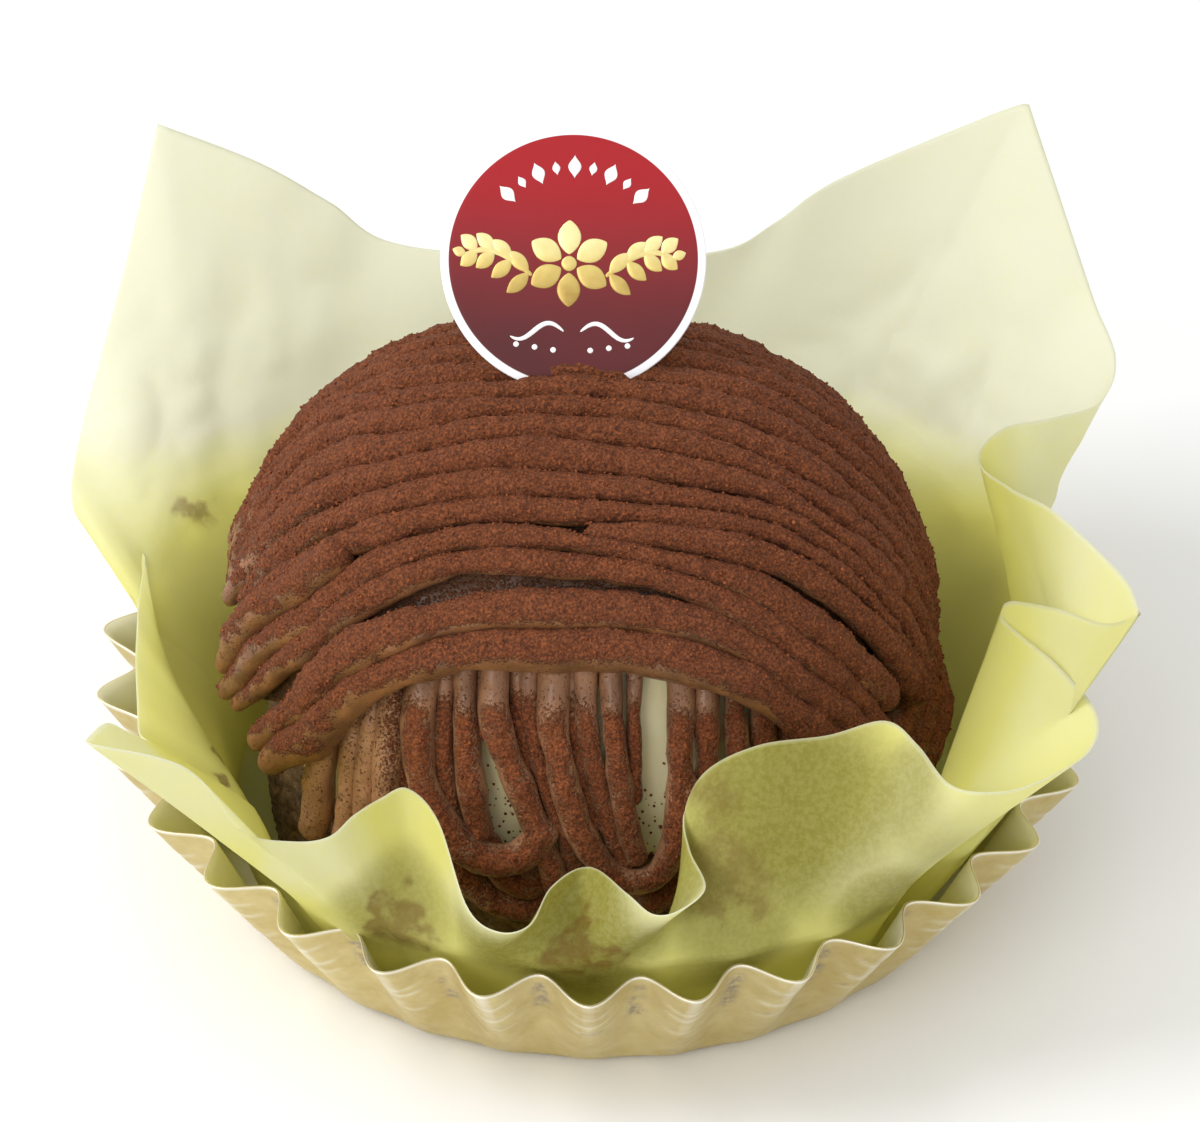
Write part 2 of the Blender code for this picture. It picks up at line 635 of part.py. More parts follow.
def upper_path(places, left_z, right_z, stops):
    """Line of one upper strand over the dome, from its left end to its right end."""
    line = []
    reach = DOME_HALF_X - UPPER_DEPTH
    for k in range(LINE_STEPS + 1):
        x = DOME_CENTRE_X + reach * math.sin(math.pi * (k / LINE_STEPS - 0.5))
        point = upper_point(x, places)
        end_z = left_z if x < DOME_CENTRE_X else right_z
        if point is not None and point[2] >= end_z and stops[0] < x < stops[1]:
            line.append(point)
    return even_points(line, UPPER_SPACING)


def make_upper_strands(parts):
    """Top layer: strands laid side by side from left to right over a thin core."""
    core = dome_patch("upper_strands", UPPER_CORE, parts)
    pieces = new_collection("upper_strand_pieces")
    whole = (DOME_CENTRE_X - DOME_HALF_X, DOME_CENTRE_X + DOME_HALF_X)
    for number, (radius, left_z, right_z, places) in enumerate(UPPER_STRANDS):
        path = upper_path(places, left_z, right_z, UPPER_STOPS.get(number, whole))
        strand_mesh("upper_%02d" % number, path, radius, pieces)
    fuse(core, pieces)
    return core


def draped_point(x, z, stand_out):
    """Point of a lower strand's line: y lies on the lower strands' dome, flares out towards the foot, and
    keeps its place below the base."""
    section = dome_section(x, LOWER_DEPTH)
    share = min(max((z - DOME_BASE_Z) / ((DOME_RISE - LOWER_DEPTH) * section), 0.0), 0.999)
    flare = LOWER_FLARE * (1.0 - smooth_step(math.degrees(math.asin(share)) / LOWER_FLARE_ANGLE))
    out = stand_out * smooth_step((STAND_OUT_FROM_Z - z) / (STAND_OUT_FROM_Z - STAND_OUT_FULL_Z))
    return (x, -(DOME_HALF_Y - LOWER_DEPTH) * section * math.sqrt(1.0 - share ** 2) - flare - out, z)


def draped_path(points, stand_out):
    """Line of a lower strand through points given as x and z."""
    line = []
    for k in range(LINE_STEPS + 1):
        x, z = spline_at(points, (len(points) - 1) * k / LINE_STEPS)
        line.append(draped_point(float(x), float(z), stand_out))
    return even_points(line, LOWER_SPACING)


def back_path(number):
    """Line of one strand that hangs down at the back."""
    top = BACK_TOP[0] + BACK_TOP[1] * number
    foot = BACK_FOOT[0] + BACK_FOOT[1] * number
    foot_z = BACK_FOOT_Z[0] + BACK_FOOT_Z[1] * (number % 3)
    line = draped_path(((top, BACK_TOP_Z), (0.5 * (top + foot), BACK_MIDDLE_Z), (foot, foot_z)), 0.0)
    return [(x, -y, z) for x, y, z in line]


def flank_path(height, front, back):
    """Line of a strand along the right flank, bending in and down towards both ends."""
    line = []
    for k in range(LINE_STEPS + 1):
        y = front + (back - front) * k / LINE_STEPS
        x = FLANK_X - FLANK_BEND_IN * y * y + FLANK_LEAN * (FLANK_MIDDLE_Z - height)
        line.append((x, y, height - FLANK_BEND_DOWN * y * y))
    return even_points(line, LOWER_SPACING)


def make_lower_strands(parts):
    """Layer below: hanging strands and two loops in front, strands at the back and on the right flank."""
    core = dome_patch("lower_strands", LOWER_CORE, parts)
    pieces = new_collection("lower_strand_pieces")
    for number, (radius, stand_out, points) in enumerate(FRONT_STRANDS):
        strand_mesh("front_%02d" % number, draped_path(points, stand_out), radius, pieces)
    for number in range(BACK_COUNT):
        strand_mesh("back_%02d" % number, back_path(number), BACK_RADIUS, pieces)
    for number, strand in enumerate(FLANK_STRANDS):
        strand_mesh("flank_%02d" % number, flank_path(*strand), FLANK_RADIUS, pieces)
    strand_mesh("flank_rib", [(x, 0.0, z) for x, z in FLANK_RIB], FLANK_RIB_RADIUS, pieces)
    fuse(core, pieces)
    return core


def make_whipped_cream(parts):
    """Dome of cream inside the strands: a sphere drawn out to the dome's form and cut flat below."""
    work = bmesh.new()
    bmesh.ops.create_uvsphere(work, u_segments=CREAM_SEGMENTS, v_segments=CREAM_RINGS, radius=1.0,
                              matrix=Matrix.Rotation(math.pi / 2.0, 4, "Y"))
    reach = DOME_HALF_X - CREAM_DEPTH
    for vert in work.verts:
        side = max(-1.0, min(1.0, vert.co.x))
        x = DOME_CENTRE_X + reach * side
        section = dome_section(x, CREAM_DEPTH)
        ring = math.hypot(vert.co.y, vert.co.z)
        if ring < 1e-6:
            vert.co = (MM * x, 0.0, MM * DOME_BASE_Z)
            continue
        y = (DOME_HALF_Y - CREAM_DEPTH) * section * vert.co.y / ring
        z = DOME_BASE_Z + (DOME_RISE - CREAM_DEPTH) * section * vert.co.z / ring
        vert.co = (MM * x, MM * y, MM * z)
    geometry = list(work.verts) + list(work.edges) + list(work.faces)
    bmesh.ops.bisect_plane(work, geom=geometry, dist=1e-7, plane_co=(0.0, 0.0, MM * CREAM_FLOOR_Z),
                           plane_no=(0.0, 0.0, 1.0), clear_inner=True)
    bmesh.ops.holes_fill(work, edges=[edge for edge in work.edges if edge.is_boundary], sides=0)
    bmesh.ops.recalc_face_normals(work, faces=work.faces)
    mesh = bpy.data.meshes.new("whipped_cream")
    work.to_mesh(mesh)
    work.free()
    return add_object("whipped_cream", mesh, parts)


def make_sponge_base(parts):
    """Oval disc of sponge under the cream, with a soft upper edge."""
    work = bmesh.new()
    height = SPONGE_TOP_Z - SPONGE_FLOOR_Z
    bmesh.ops.create_cone(work, cap_ends=True, segments=SPONGE_SEGMENTS, radius1=1.0, radius2=1.0, depth=1.0)
    for vert in work.verts:
        vert.co.x = MM * (DOME_CENTRE_X + SPONGE_HALF_X * vert.co.x)
        vert.co.y = MM * SPONGE_HALF_Y * vert.co.y
        vert.co.z = MM * (SPONGE_FLOOR_Z + height * (vert.co.z + 0.5))
    mesh = bpy.data.meshes.new("sponge_base")
    work.to_mesh(mesh)
    work.free()
    sponge = add_object("sponge_base", mesh, parts)
    bevel = sponge.modifiers.new("soft_edge", "BEVEL")
    bevel.width = SPONGE_EDGE * MM
    bevel.segments = 2
    return sponge


def pick_outline(radius, stem_width, stem_length):
    """Round plate with a stem whose foot is pointed, as a flat outline walked round once."""
    half = 0.5 * stem_width
    join = math.asin(half / radius)
    outline = []
    for k in range(PICK_STEPS + 1):
        angle = -0.5 * math.pi + join + (2.0 * math.pi - 2.0 * join) * k / PICK_STEPS
        outline.append((radius * math.cos(angle), radius * math.sin(angle)))
    outline.append((-half, -radius - PICK_SHOULDER_SHARE * stem_length))
    outline.append((0.0, -radius - stem_length))
    outline.append((half, -radius - PICK_SHOULDER_SHARE * stem_length))
    return outline


def flat_plate(name, outline, thickness, collection):
    """Flat outline given a thickness, standing at the pick's place and lean."""
    curve = bpy.data.curves.new(name, "CURVE")
    curve.dimensions = "2D"
    curve.fill_mode = "BOTH"
    curve.extrude = 0.5 * thickness * MM
    spline = curve.splines.new("POLY")
    spline.points.add(len(outline) - 1)
    spline.use_cyclic_u = True
    for target, (x, y) in zip(spline.points, outline):
        target.co = (MM * x, MM * y, 0.0, 1.0)
    plate = bpy.data.objects.new(name, curve)
    collection.objects.link(plate)
    plate.location = [MM * c for c in PICK_CENTRE]
    plate.rotation_euler = (math.radians(90.0 - PICK_LEAN_DEG), 0.0, 0.0)
    bpy.context.view_layer.update()
    graph = bpy.context.evaluated_depsgraph_get()
    mesh = bpy.data.meshes.new_from_object(plate.evaluated_get(graph))
    place = plate.matrix_world.copy()
    bpy.data.objects.remove(plate, do_unlink=True)
    work = bmesh.new()
    work.from_mesh(mesh)
    bmesh.ops.remove_doubles(work, verts=work.verts, dist=WELD_DISTANCE)
    bmesh.ops.recalc_face_normals(work, faces=work.faces)
    work.to_mesh(mesh)
    work.free()
    mesh.materials.clear()
    return mesh, place


def make_pick(parts):
    """Round plate on a pointed stem."""
    outline = pick_outline(PICK_RADIUS, PICK_STEM_WIDTH, PICK_STEM_LENGTH)
    mesh, place = flat_plate("pick", outline, PICK_THICKNESS, parts)
    pick = add_object("pick", mesh, parts)
    pick.matrix_world = place
    return pick


def cut_pick_slot(nodes, cutters):
    """Opens the slot that the pick's foot stands in, a little wider than the foot."""
    outline = pick_outline(PICK_RADIUS + PICK_GAP, PICK_STEM_WIDTH + 2 * PICK_GAP,
                           PICK_STEM_LENGTH + PICK_SLOT_EXTRA)
    mesh, place = flat_plate("pick_slot", outline, PICK_THICKNESS + 2 * PICK_GAP, cutters)
    slot = add_object("pick_slot", mesh, cutters, finish=False)
    slot.matrix_world = place
    slot.hide_render = True
    slot.display_type = "WIRE"
    bpy.context.view_layer.update()
    for node in nodes:
        boolean(node, "DIFFERENCE", operand=slot)
        largest_shell(node)


def main():
    clear_scene()
    parts = new_collection("chestnut_cream_cake")
    cutters = new_collection("cutters")
    make_gold_cup(parts)
    make_paper_liner(parts)
    make_sponge_base(parts)
    cream = make_whipped_cream(parts)
    lower = make_lower_strands(parts)
    upper = make_upper_strands(parts)
    make_pick(parts)
    cut_pick_slot((cream, lower, upper), cutters)


main()
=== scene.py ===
"""Looks of a chestnut cream cake in a pleated gold cup, with a square paper sheet and a round pick.

Every piece is a surface worked out on a grid of two parameters. Sizes are in millimetres, in the frame of the
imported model, and become metres when a mesh is made. Noise is given in layers: height, size and seed of each.
"""
import itertools
import math

import bpy
import numpy as np
from mathutils import Matrix, Vector


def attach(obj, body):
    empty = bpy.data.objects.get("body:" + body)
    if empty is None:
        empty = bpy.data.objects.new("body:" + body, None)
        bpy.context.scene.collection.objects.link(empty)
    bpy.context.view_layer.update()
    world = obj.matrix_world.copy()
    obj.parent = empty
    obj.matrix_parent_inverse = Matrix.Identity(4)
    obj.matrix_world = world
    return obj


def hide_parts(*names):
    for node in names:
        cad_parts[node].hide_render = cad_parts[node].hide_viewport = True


MM = 0.001

# Camera fitted to the cup's rim: place in metres, tilt below the horizon, roll and lens
CAMERA_PLACE = (0.0, -0.6177, 0.5283)
CAMERA_TILT_DEG = 38.79
CAMERA_ROLL_DEG = 1.0
CAMERA_SENSOR = 36.0
CAMERA_LENS = 241.0

# Lamps: name, place in metres, size and power. Brightness of the white surrounding, floor under the cup
LAMPS = (
    ("key_lamp", (-0.62, -0.05, 0.62), 0.40, 4.0),
    ("front_lamp", (-0.46, -0.78, 0.56), 0.50, 2.8),
)
LAMP_AIM = (0.0, 0.0, 0.03)
SURROUNDING = 0.90
FLOOR_HALF = 3.0
FLOOR_Z = -0.0002
FLOOR_COLOUR = (0.86, 0.86, 0.86)

# Gold cup
CUP_FOOT_RADIUS = 38.2
CUP_TIP_RADIUS = 50.0
CUP_FOLD_RADIUS = 45.8
CUP_HEIGHT = 17.6
CUP_WALL = 0.35
CUP_LIP = 0.06
CUP_FLUTES = 30
CUP_FIRST_TIP_DEG = -198.4
CUP_EDGE_ROUND = 1.0
CUP_WAVE_POWER = 0.8
CUP_COLUMNS = 720
CUP_ROWS = 64
# Scalloped creases of the foil: how far below the rim, and how deep
CUP_CREASES = ((4.2, 0.10), (6.6, 0.13), (9.6, 0.08))
CUP_CREASE_SAG = 1.3
CUP_CREASE_WIDTH = 0.28
CUP_DENT = 0.10
CUP_CRACK_DROP = 8.2
CUP_CRACK_WIDTH = 0.16

# Paper sheet: floor in the cup, knee at the cup's rim, square edge above. Where the edge is low, the knee is
# lower. The wall bows in, but not at the front and at the right
PAPER_CENTRE = (0.0, 0.0, 0.85)
PAPER_FLOOR_RADIUS = 36.2
PAPER_KNEE_Z = 19.4
PAPER_KNEE_DROP = 1.5
PAPER_LOW_EDGE_Z = 25.0
PAPER_LOW_EDGE_SPAN = 2.5
PAPER_BOW_OUT = 0.6
PAPER_BOW_Z = 12.5
PAPER_STRAIGHT_Y = (-14.0, -30.0)
PAPER_STRAIGHT_X = (24.0, 38.0)
# Flap: place of the curve's guide point, where its last, narrow row starts, and the share of yellow and olive
# left in that row, which keeps the edge pale as a painted highlight
PAPER_GUIDE_SHARE = 0.24
PAPER_GUIDE_TO_EDGE = 2.0
PAPER_HEM_START = 0.985
PAPER_HEM_HIGHLIGHT = 0.2
PAPER_THICKNESS = 0.14
PAPER_COLUMNS = 648
PAPER_ROWS_FLOOR = 4
PAPER_ROWS_WALL = 12
PAPER_ROWS_FLAP = 32
PAPER_WAVES = 0.10
# The sheet's edge walked round clockwise from above, one list for each side of the square.
# Each station is x, y, z and the radius at which the sheet passes the cup's rim below it.
PAPER_SIDES = (
    (100.0, (  # back side, from the back left corner
        (-46.0, 50.0, 48.0, 45.9),
        (-36.0, 50.0, 43.5, 45.9),
        (-28.5, 50.0, 38.5, 45.9),
        (-21.0, 49.5, 33.5, 45.9),
        (-0.5, 49.0, 32.5, 45.9),
        (12.0, 49.5, 33.5, 45.9),
        (17.5, 50.5, 36.5, 45.9),
        (23.5, 51.0, 41.5, 45.9),
        (38.0, 52.5, 48.5, 45.9),
    )),
    (10.0, (  # right side, from the back right corner
        (43.0, 53.0, 50.5, 45.9),
        (47.5, 44.0, 41.0, 45.9),
        (50.0, 38.5, 36.0, 45.9),
        (52.0, 31.5, 34.0, 46.0),
        (50.0, 25.0, 33.5, 45.5),
        (45.0, 21.5, 34.0, 44.5),
        (40.0, 19.5, 34.0, 43.0),
        (37.5, 15.5, 33.0, 42.0),
        (40.5, 10.0, 34.0, 43.5),
        (44.5, 2.0, 37.5, 45.5),
        (50.5, -11.5, 40.5, 45.9),
    )),
    (-80.0, (  # front side, from the front right corner
        (52.0, -20.0, 42.5, 45.9),
        (49.0, -16.0, 38.0, 45.9),
        (45.0, -9.0, 34.0, 45.0),
        (40.5, -5.0, 31.5, 42.5),
        (39.5, -6.5, 31.0, 42.0),
        (41.5, -11.0, 32.0, 43.0),
        (44.5, -17.0, 33.5, 45.0),
        (48.0, -24.0, 33.5, 45.9),
        (47.0, -30.5, 34.0, 45.9),
        (41.5, -37.0, 35.5, 46.4),
        (37.5, -39.0, 36.0, 46.4),
        (33.5, -38.0, 36.0, 46.2),
        (30.5, -33.5, 37.0, 46.0),
        (27.5, -30.0, 37.0, 45.9),
        (22.0, -30.5, 35.5, 45.9),
        (15.5, -31.5, 35.0, 45.9),
        (10.5, -32.5, 32.5, 45.7),
        (8.5, -34.5, 29.0, 45.5),
        (9.0, -40.0, 29.0, 45.7),
        (10.5, -46.0, 29.5, 45.5),
        (8.0, -49.5, 29.5, 45.9),
        (5.5, -50.0, 29.5, 45.9),
        (3.0, -47.0, 29.5, 45.9),
        (-0.5, -41.0, 27.5, 45.9),
        (-4.0, -44.0, 27.5, 45.9),
        (-6.0, -50.0, 28.0, 45.9),
        (-9.0, -50.5, 27.5, 45.9),
        (-12.0, -47.0, 27.5, 45.9),
        (-15.0, -37.0, 29.5, 45.7),
        (-18.0, -33.5, 30.5, 45.7),
        (-20.5, -35.0, 30.5, 45.7),
        (-23.0, -38.2, 31.0, 45.8),
        (-25.2, -41.4, 31.0, 45.6),
        (-28.6, -42.2, 31.0, 45.9),
        (-33.5, -43.5, 33.5, 46.8),
        (-38.5, -44.0, 41.5, 47.3),
    )),
    (190.0, (  # left side, from the front left corner
        (-48.0, -43.5, 44.0, 47.3),
        (-46.3, -39.6, 43.0, 47.0),
        (-44.8, -34.5, 38.0, 45.5),
        (-43.6, -22.9, 27.0, 41.5),
        (-44.9, -15.3, 21.5, 40.2),
        (-45.4, -9.7, 21.0, 39.8),
        (-45.9, -3.5, 21.0, 40.0),
        (-46.0, 0.5, 21.2, 40.2),
        (-46.1, 5.0, 21.0, 41.0),
        (-46.0, 9.5, 21.0, 42.0),
        (-45.9, 13.1, 21.2, 43.0),
        (-47.8, 14.6, 20.6, 43.4),
        (-50.3, 17.0, 20.4, 43.8),
        (-52.6, 17.6, 21.5, 44.2),
        (-53.6, 19.5, 24.0, 44.8),
        (-53.0, 26.0, 26.5, 45.7),
        (-51.0, 33.0, 32.0, 45.9),
        (-48.5, 41.5, 39.0, 45.9),
    )),
)
# Places where the sheet is crumpled: x, y, z, reach and height of the crumples
PAPER_CRUMPLES = (
    (-38.0, 38.0, 24.0, 13.0, 0.9),
    (-41.0, 22.0, 22.0, 9.0, 0.6),
    (33.0, 38.0, 25.0, 13.0, 1.0),
    (42.0, 20.0, 26.0, 9.0, 0.8),
    (46.0, 2.0, 29.0, 9.0, 0.7),
)
# Brown stains: x, y, z, reach and strength
PAPER_STAINS = (
    (-18.4, -41.5, 20.6, 3.9, 0.8),
    (-1.4, -45.0, 20.4, 4.2, 0.9),
    (13.0, -38.0, 25.0, 5.5, 0.6),
    (12.0, -36.0, 31.0, 3.5, 0.5),
    (-36.4, -14.8, 17.3, 2.4, 0.9),
    (-37.8, -19.2, 18.4, 2.2, 0.9),
    (-33.5, -20.0, 17.0, 2.4, 0.7),
    (-39.5, 20.5, 22.5, 3.0, 0.6),
)
# Olive places, partly greasy spots and partly painted shade on the front panels: x, y, z, reach and strength.
# The outlines of both wander
PAPER_GREASE_AND_SHADE = (
    (20.0, -31.0, 28.0, 15.0, 1.0),
    (30.0, -33.0, 30.0, 9.0, 0.7),
    (-3.0, -45.0, 22.0, 12.0, 1.0),
    (-19.0, -40.0, 20.5, 8.5, 0.70),
    (12.0, -41.0, 28.0, 9.0, 0.8),
    (14.0, -43.0, 19.0, 8.0, 0.7),
    (27.0, -38.0, 22.0, 8.0, 0.8),
)
STAIN_WANDER = ((2.0, 2.6, 84), (1.6, 1.1, 86))
GREASE_AND_SHADE_WANDER = ((2.0, 6.0, 85),)

# Dome of the cake
DOME_CENTRE_X = -1.9
DOME_HALF_X = 37.2
DOME_HALF_Y = 33.0
DOME_RISE = 40.5
DOME_BASE_Z = 15.0
DOME_SQUARE_X = 2.65
DOME_SQUARE_Z = 2.15
DOME_OUTWARD_POWERS = (2.4, 1.0, 1.0)

# Upper strands from the front to the back of the dome: radius, heights of the left and the right end, and the
# y of the strand's line at six stations from left to right
UPPER_DEPTH = 2.0
UPPER_FIRST_STATION = -28.0
UPPER_STATION_STEP = 9.4
UPPER_LEFT_POWER = 0.7
UPPER_RIGHT_POWER = 0.35
UPPER_STRANDS = (
    (2.15, 19.6, 22.5, (-21.4, -22.9, -23.3, -23.4, -23.6, -23.1)),
    (1.95, 21.2, 23.0, (-20.3, -21.0, -21.4, -21.5, -21.7, -21.5)),
    (1.35, 21.4, 24.0, (-17.4, -17.6, -17.9, -18.3, -19.1, -20.0)),
    (1.55, 21.0, 26.8, (-15.7, -15.7, -16.3, -16.9, -17.9, -18.0)),
    (1.55, 30.0, 25.5, (-15.7, -15.9, -16.0, -16.0, -16.1, -14.6)),
    (2.00, 22.6, 30.0, (-12.9, -13.6, -13.6, -13.6, -13.6, -13.6)),
    (1.60, 26.0, 22.8, (-11.8, -13.6, -14.2, -14.4, -14.2, -13.2)),
    (1.75, 30.2, 24.0, (-9.3, -11.4, -12.0, -12.5, -12.7, -11.6)),
    (1.75, 28.5, 34.8, (-6.2, -8.5, -8.8, -9.5, -10.3, -10.0)),
    (1.60, 29.0, 24.5, (-2.2, -5.7, -5.8, -6.3, -7.6, -7.9)),
    (1.55, 26.0, 25.0, (2.2, -2.6, -3.3, -3.7, -5.0, -4.9)),
    (1.45, 27.0, 25.0, (6.0, 0.4, -0.6, -1.4, -1.9, -1.7)),
    (1.65, 25.0, 26.0, (8.0, 3.4, 2.4, 1.7, 1.4, 1.2)),
    (1.70, 27.0, 25.5, (10.1, 6.4, 5.4, 4.8, 4.7, 4.3)),
    (1.75, 24.5, 27.0, (12.0, 9.2, 8.4, 7.9, 7.7, 7.1)),
    (1.70, 26.0, 24.0, (13.9, 11.8, 11.2, 10.9, 10.7, 9.9)),
    (1.75, 23.5, 25.5, (15.6, 14.3, 13.9, 13.8, 13.5, 12.5)),
    (1.70, 25.0, 26.0, (17.3, 16.7, 16.6, 16.5, 16.1, 15.0)),
    (1.75, 23.5, 25.0, (18.8, 18.9, 19.1, 19.1, 18.6, 17.4)),
    (1.70, 25.5, 24.5, (20.1, 20.9, 21.4, 21.5, 20.9, 19.5)),
    (1.80, 24.0, 27.0, (21.3, 22.8, 23.5, 23.6, 23.0, 21.5)),
)
UPPER_STRANDS_A_PIECE = 4
# Strands that start or stop on top of the others: first and last x, and how far they stand off the rest
UPPER_STOPS = {4: (-1.5, 40.0, 0.15), 5: (-40.0, -23.6, 0.7), 8: (-40.0, 40.0, 0.15)}
UPPER_WHOLE = (-40.0, 40.0, 0.0)
# How far the left ends stand off the dome, in turn, and how much thinner they are
UPPER_LIFT = (0.2, 0.5, 0.3, 1.0, 0.6)
UPPER_TAPER = 0.36
UPPER_LINE_POINTS = 481
# Room counted beside a strand that has no neighbour, and points over which the room is averaged
ROOM_MOST = 9.0
ROOM_WINDOW = 25

# Lower strands: they lie on a smaller dome, flare out at the foot and hang straight down below its base
LOWER_DEPTH = 5.9
LOWER_FLARE = 1.3
LOWER_FLARE_ANGLE = 38.0
LOWER_LINE_POINTS = 161
LOWER_SEED = 40
# Front strands: radius, how far it stands out, and x and z of the points it passes
FRONT_STRANDS = (
    (1.45, 0.2, ((-25.4, 36.0), (-26.0, 27.0), (-27.1, 19.0), (-27.6, 12.0))),
    (1.25, 0.0, ((-23.4, 36.0), (-23.6, 27.0), (-24.4, 18.0), (-24.9, 12.0))),
    (1.15, 0.1, ((-21.6, 36.0), (-21.8, 27.0), (-22.4, 18.0), (-22.8, 12.0))),
    (1.35, 0.3, ((-19.7, 37.0), (-19.9, 28.0), (-20.2, 19.0), (-20.6, 12.0))),
    (1.10, -1.0, ((-18.0, 37.0), (-18.2, 28.0), (-18.4, 19.0), (-18.6, 12.0))),
    (1.10, -0.6, ((-14.5, 38.0), (-14.7, 30.0), (-14.2, 24.0), (-13.0, 17.0))),
    (1.10, -0.9, ((-11.0, 38.0), (-10.8, 33.0), (-10.6, 28.5))),
    (1.20, -0.8, ((-8.0, 38.0), (-7.4, 32.0), (-6.4, 26.0), (-4.6, 20.0))),
    (1.20, -0.8, ((-2.8, 38.0), (-2.6, 32.0), (-1.6, 26.0), (0.2, 20.0))),
    (1.30, 0.0, ((-12.6, 38.0), (-12.6, 32.0), (-11.9, 25.5), (-10.9, 19.0))),
    (1.10, -0.2, ((-6.7, 38.0), (-6.4, 32.0), (-5.0, 26.0), (-2.8, 20.0), (-1.2, 14.0))),
    (1.15, 0.0, ((-1.5, 38.0), (-1.2, 32.0), (-0.1, 26.0), (1.8, 19.5), (3.4, 16.5))),
    (1.15, 0.1, ((1.2, 38.0), (1.4, 32.0), (2.2, 26.0), (3.4, 20.0), (4.4, 17.0))),
    (0.75, -0.7, ((3.4, 38.0), (3.5, 30.0), (3.9, 23.0))),
    (1.25, 0.3, ((10.4, 38.0), (10.7, 31.0), (11.0, 24.0), (11.4, 13.0))),
    (1.20, 0.2, ((13.0, 38.0), (13.3, 31.0), (13.8, 24.0), (14.2, 13.0))),
    (1.20, 0.0, ((15.5, 37.0), (15.9, 30.0), (16.5, 22.0), (16.9, 13.0))),
    (1.20, 0.0, ((18.0, 37.0), (18.4, 30.0), (19.0, 22.0), (19.4, 13.0))),
    (1.20, 0.0, ((20.4, 36.0), (20.9, 29.0), (21.7, 21.0), (22.1, 14.0))),
    (1.20, 0.0, ((22.8, 35.0), (23.4, 28.0), (24.2, 21.0), (24.6, 15.0))),
    # low bends under the loops
    (1.50, -1.3, ((-14.5, 20.0), (-12.8, 14.5), (-10.0, 11.2), (-6.5, 10.4), (-3.5, 12.5), (-2.0, 16.0))),
    (1.40, -1.2, ((-10.8, 19.0), (-9.0, 14.8), (-6.5, 13.2), (-4.3, 14.8))),
    (1.50, -1.3, ((-1.5, 14.5), (2.0, 11.8), (6.0, 11.6), (9.5, 14.0))),
    # loops, with a strand that crosses the end of the first one
    (1.65, 0.8, ((-16.4, 38.0), (-17.1, 30.0), (-16.6, 25.5), (-14.6, 21.3), (-11.2, 18.3), (-8.2, 18.0),
                 (-5.9, 19.8), (-4.6, 22.5))),
    (1.45, 0.9, ((-9.9, 38.0), (-9.6, 32.0), (-8.0, 28.0), (-6.0, 23.0), (-4.3, 18.0), (-2.8, 12.0))),
    (1.40, 0.9, ((-4.2, 38.0), (-4.2, 32.0), (-3.2, 27.0), (-1.7, 22.0), (0.5, 18.2), (3.3, 15.9),
                 (5.8, 16.4), (7.5, 19.5), (8.2, 25.0), (8.1, 31.0), (8.0, 38.0))),
)
# How many of them are painted paler as painted light, and how many come before the piece with the loops
PALE_STRANDS = 5
MIDDLE_STRANDS = 15
# Back strands: how many, x of the first and the step at the top and at the foot, and height of the foot
BACK_COUNT = 12
BACK_RADIUS = 1.75
BACK_TOP = (-25.5, 4.3)
BACK_FOOT = (-26.5, 4.5)
BACK_FOOT_Z = (11.5, 1.8)
BACK_TOP_Z = 36.0
BACK_MIDDLE_Z = 26.0
# Strands on the right flank: height, y of the front end and of the back end
FLANK_STRANDS = (
    (21.5, -13.0, 12.0),
    (18.0, -16.0, 14.0),
    (14.5, -14.0, 10.0),
)
FLANK_X = 33.8
FLANK_RADIUS = 1.8
FLANK_LEAN = 0.25
FLANK_BEND_IN = 0.022
FLANK_BEND_DOWN = 0.006
# The overhang of the upper strands keeps the cocoa off the lower strands above this height, and off those
# left of this x
COCOA_START_Z = 33.3
COCOA_START_X = -19.5
COCOA_AT_LEFT = 0.14
COCOA_START_WANDER = ((1.4, 2.6, 35),)
# Patches of the cocoa
UPPER_PATCHES = ((1.0, 2.6, 31), (1.0, 1.0, 32))
LOWER_PATCHES = ((0.18, 2.0, 33), (0.16, 0.8, 34))

# Strand surfaces: steps along, points round the outer side and round the hidden side
STRAND_STEP = 0.23
STRAND_OUTER = 40
STRAND_INNER = 12
STRAND_OUTER_SPREAD_DEG = 205.0
STRAND_NARROWEST = 0.62
STRAND_WIDEST = 1.10
STRAND_OVERLAP = 1.10
STRAND_END_START = 0.12
STRAND_END_ROWS = 8
# Piping by hand: the line sways with the strands beside it, wanders by itself to the side and outwards, and
# the radius swells. The ends are calm, and the start lifts and tapers
STRAND_SWAY = ((0.45, 12.0, 11),)
STRAND_WANDER = ((0.22, 9.0, 15),)
STRAND_CLIMB = ((0.32, 8.0, 12),)
STRAND_SWELLS = ((0.13, 7.0, 13), (0.05, 2.4, 14))
STRAND_NOISE_APART = 7.3
STRAND_CALM_END = 6.0
STRAND_START = 9.0
# Relief, weaker on the side turned inwards
STRAND_LUMPS = ((0.17, 3.2, 23), (0.14, 1.5, 24))
COCOA_RELIEF = ((0.120, 0.80, 21), (0.110, 0.40, 22))
STRAND_HIDDEN_FROM = -0.45
STRAND_HIDDEN_RELIEF = 0.3

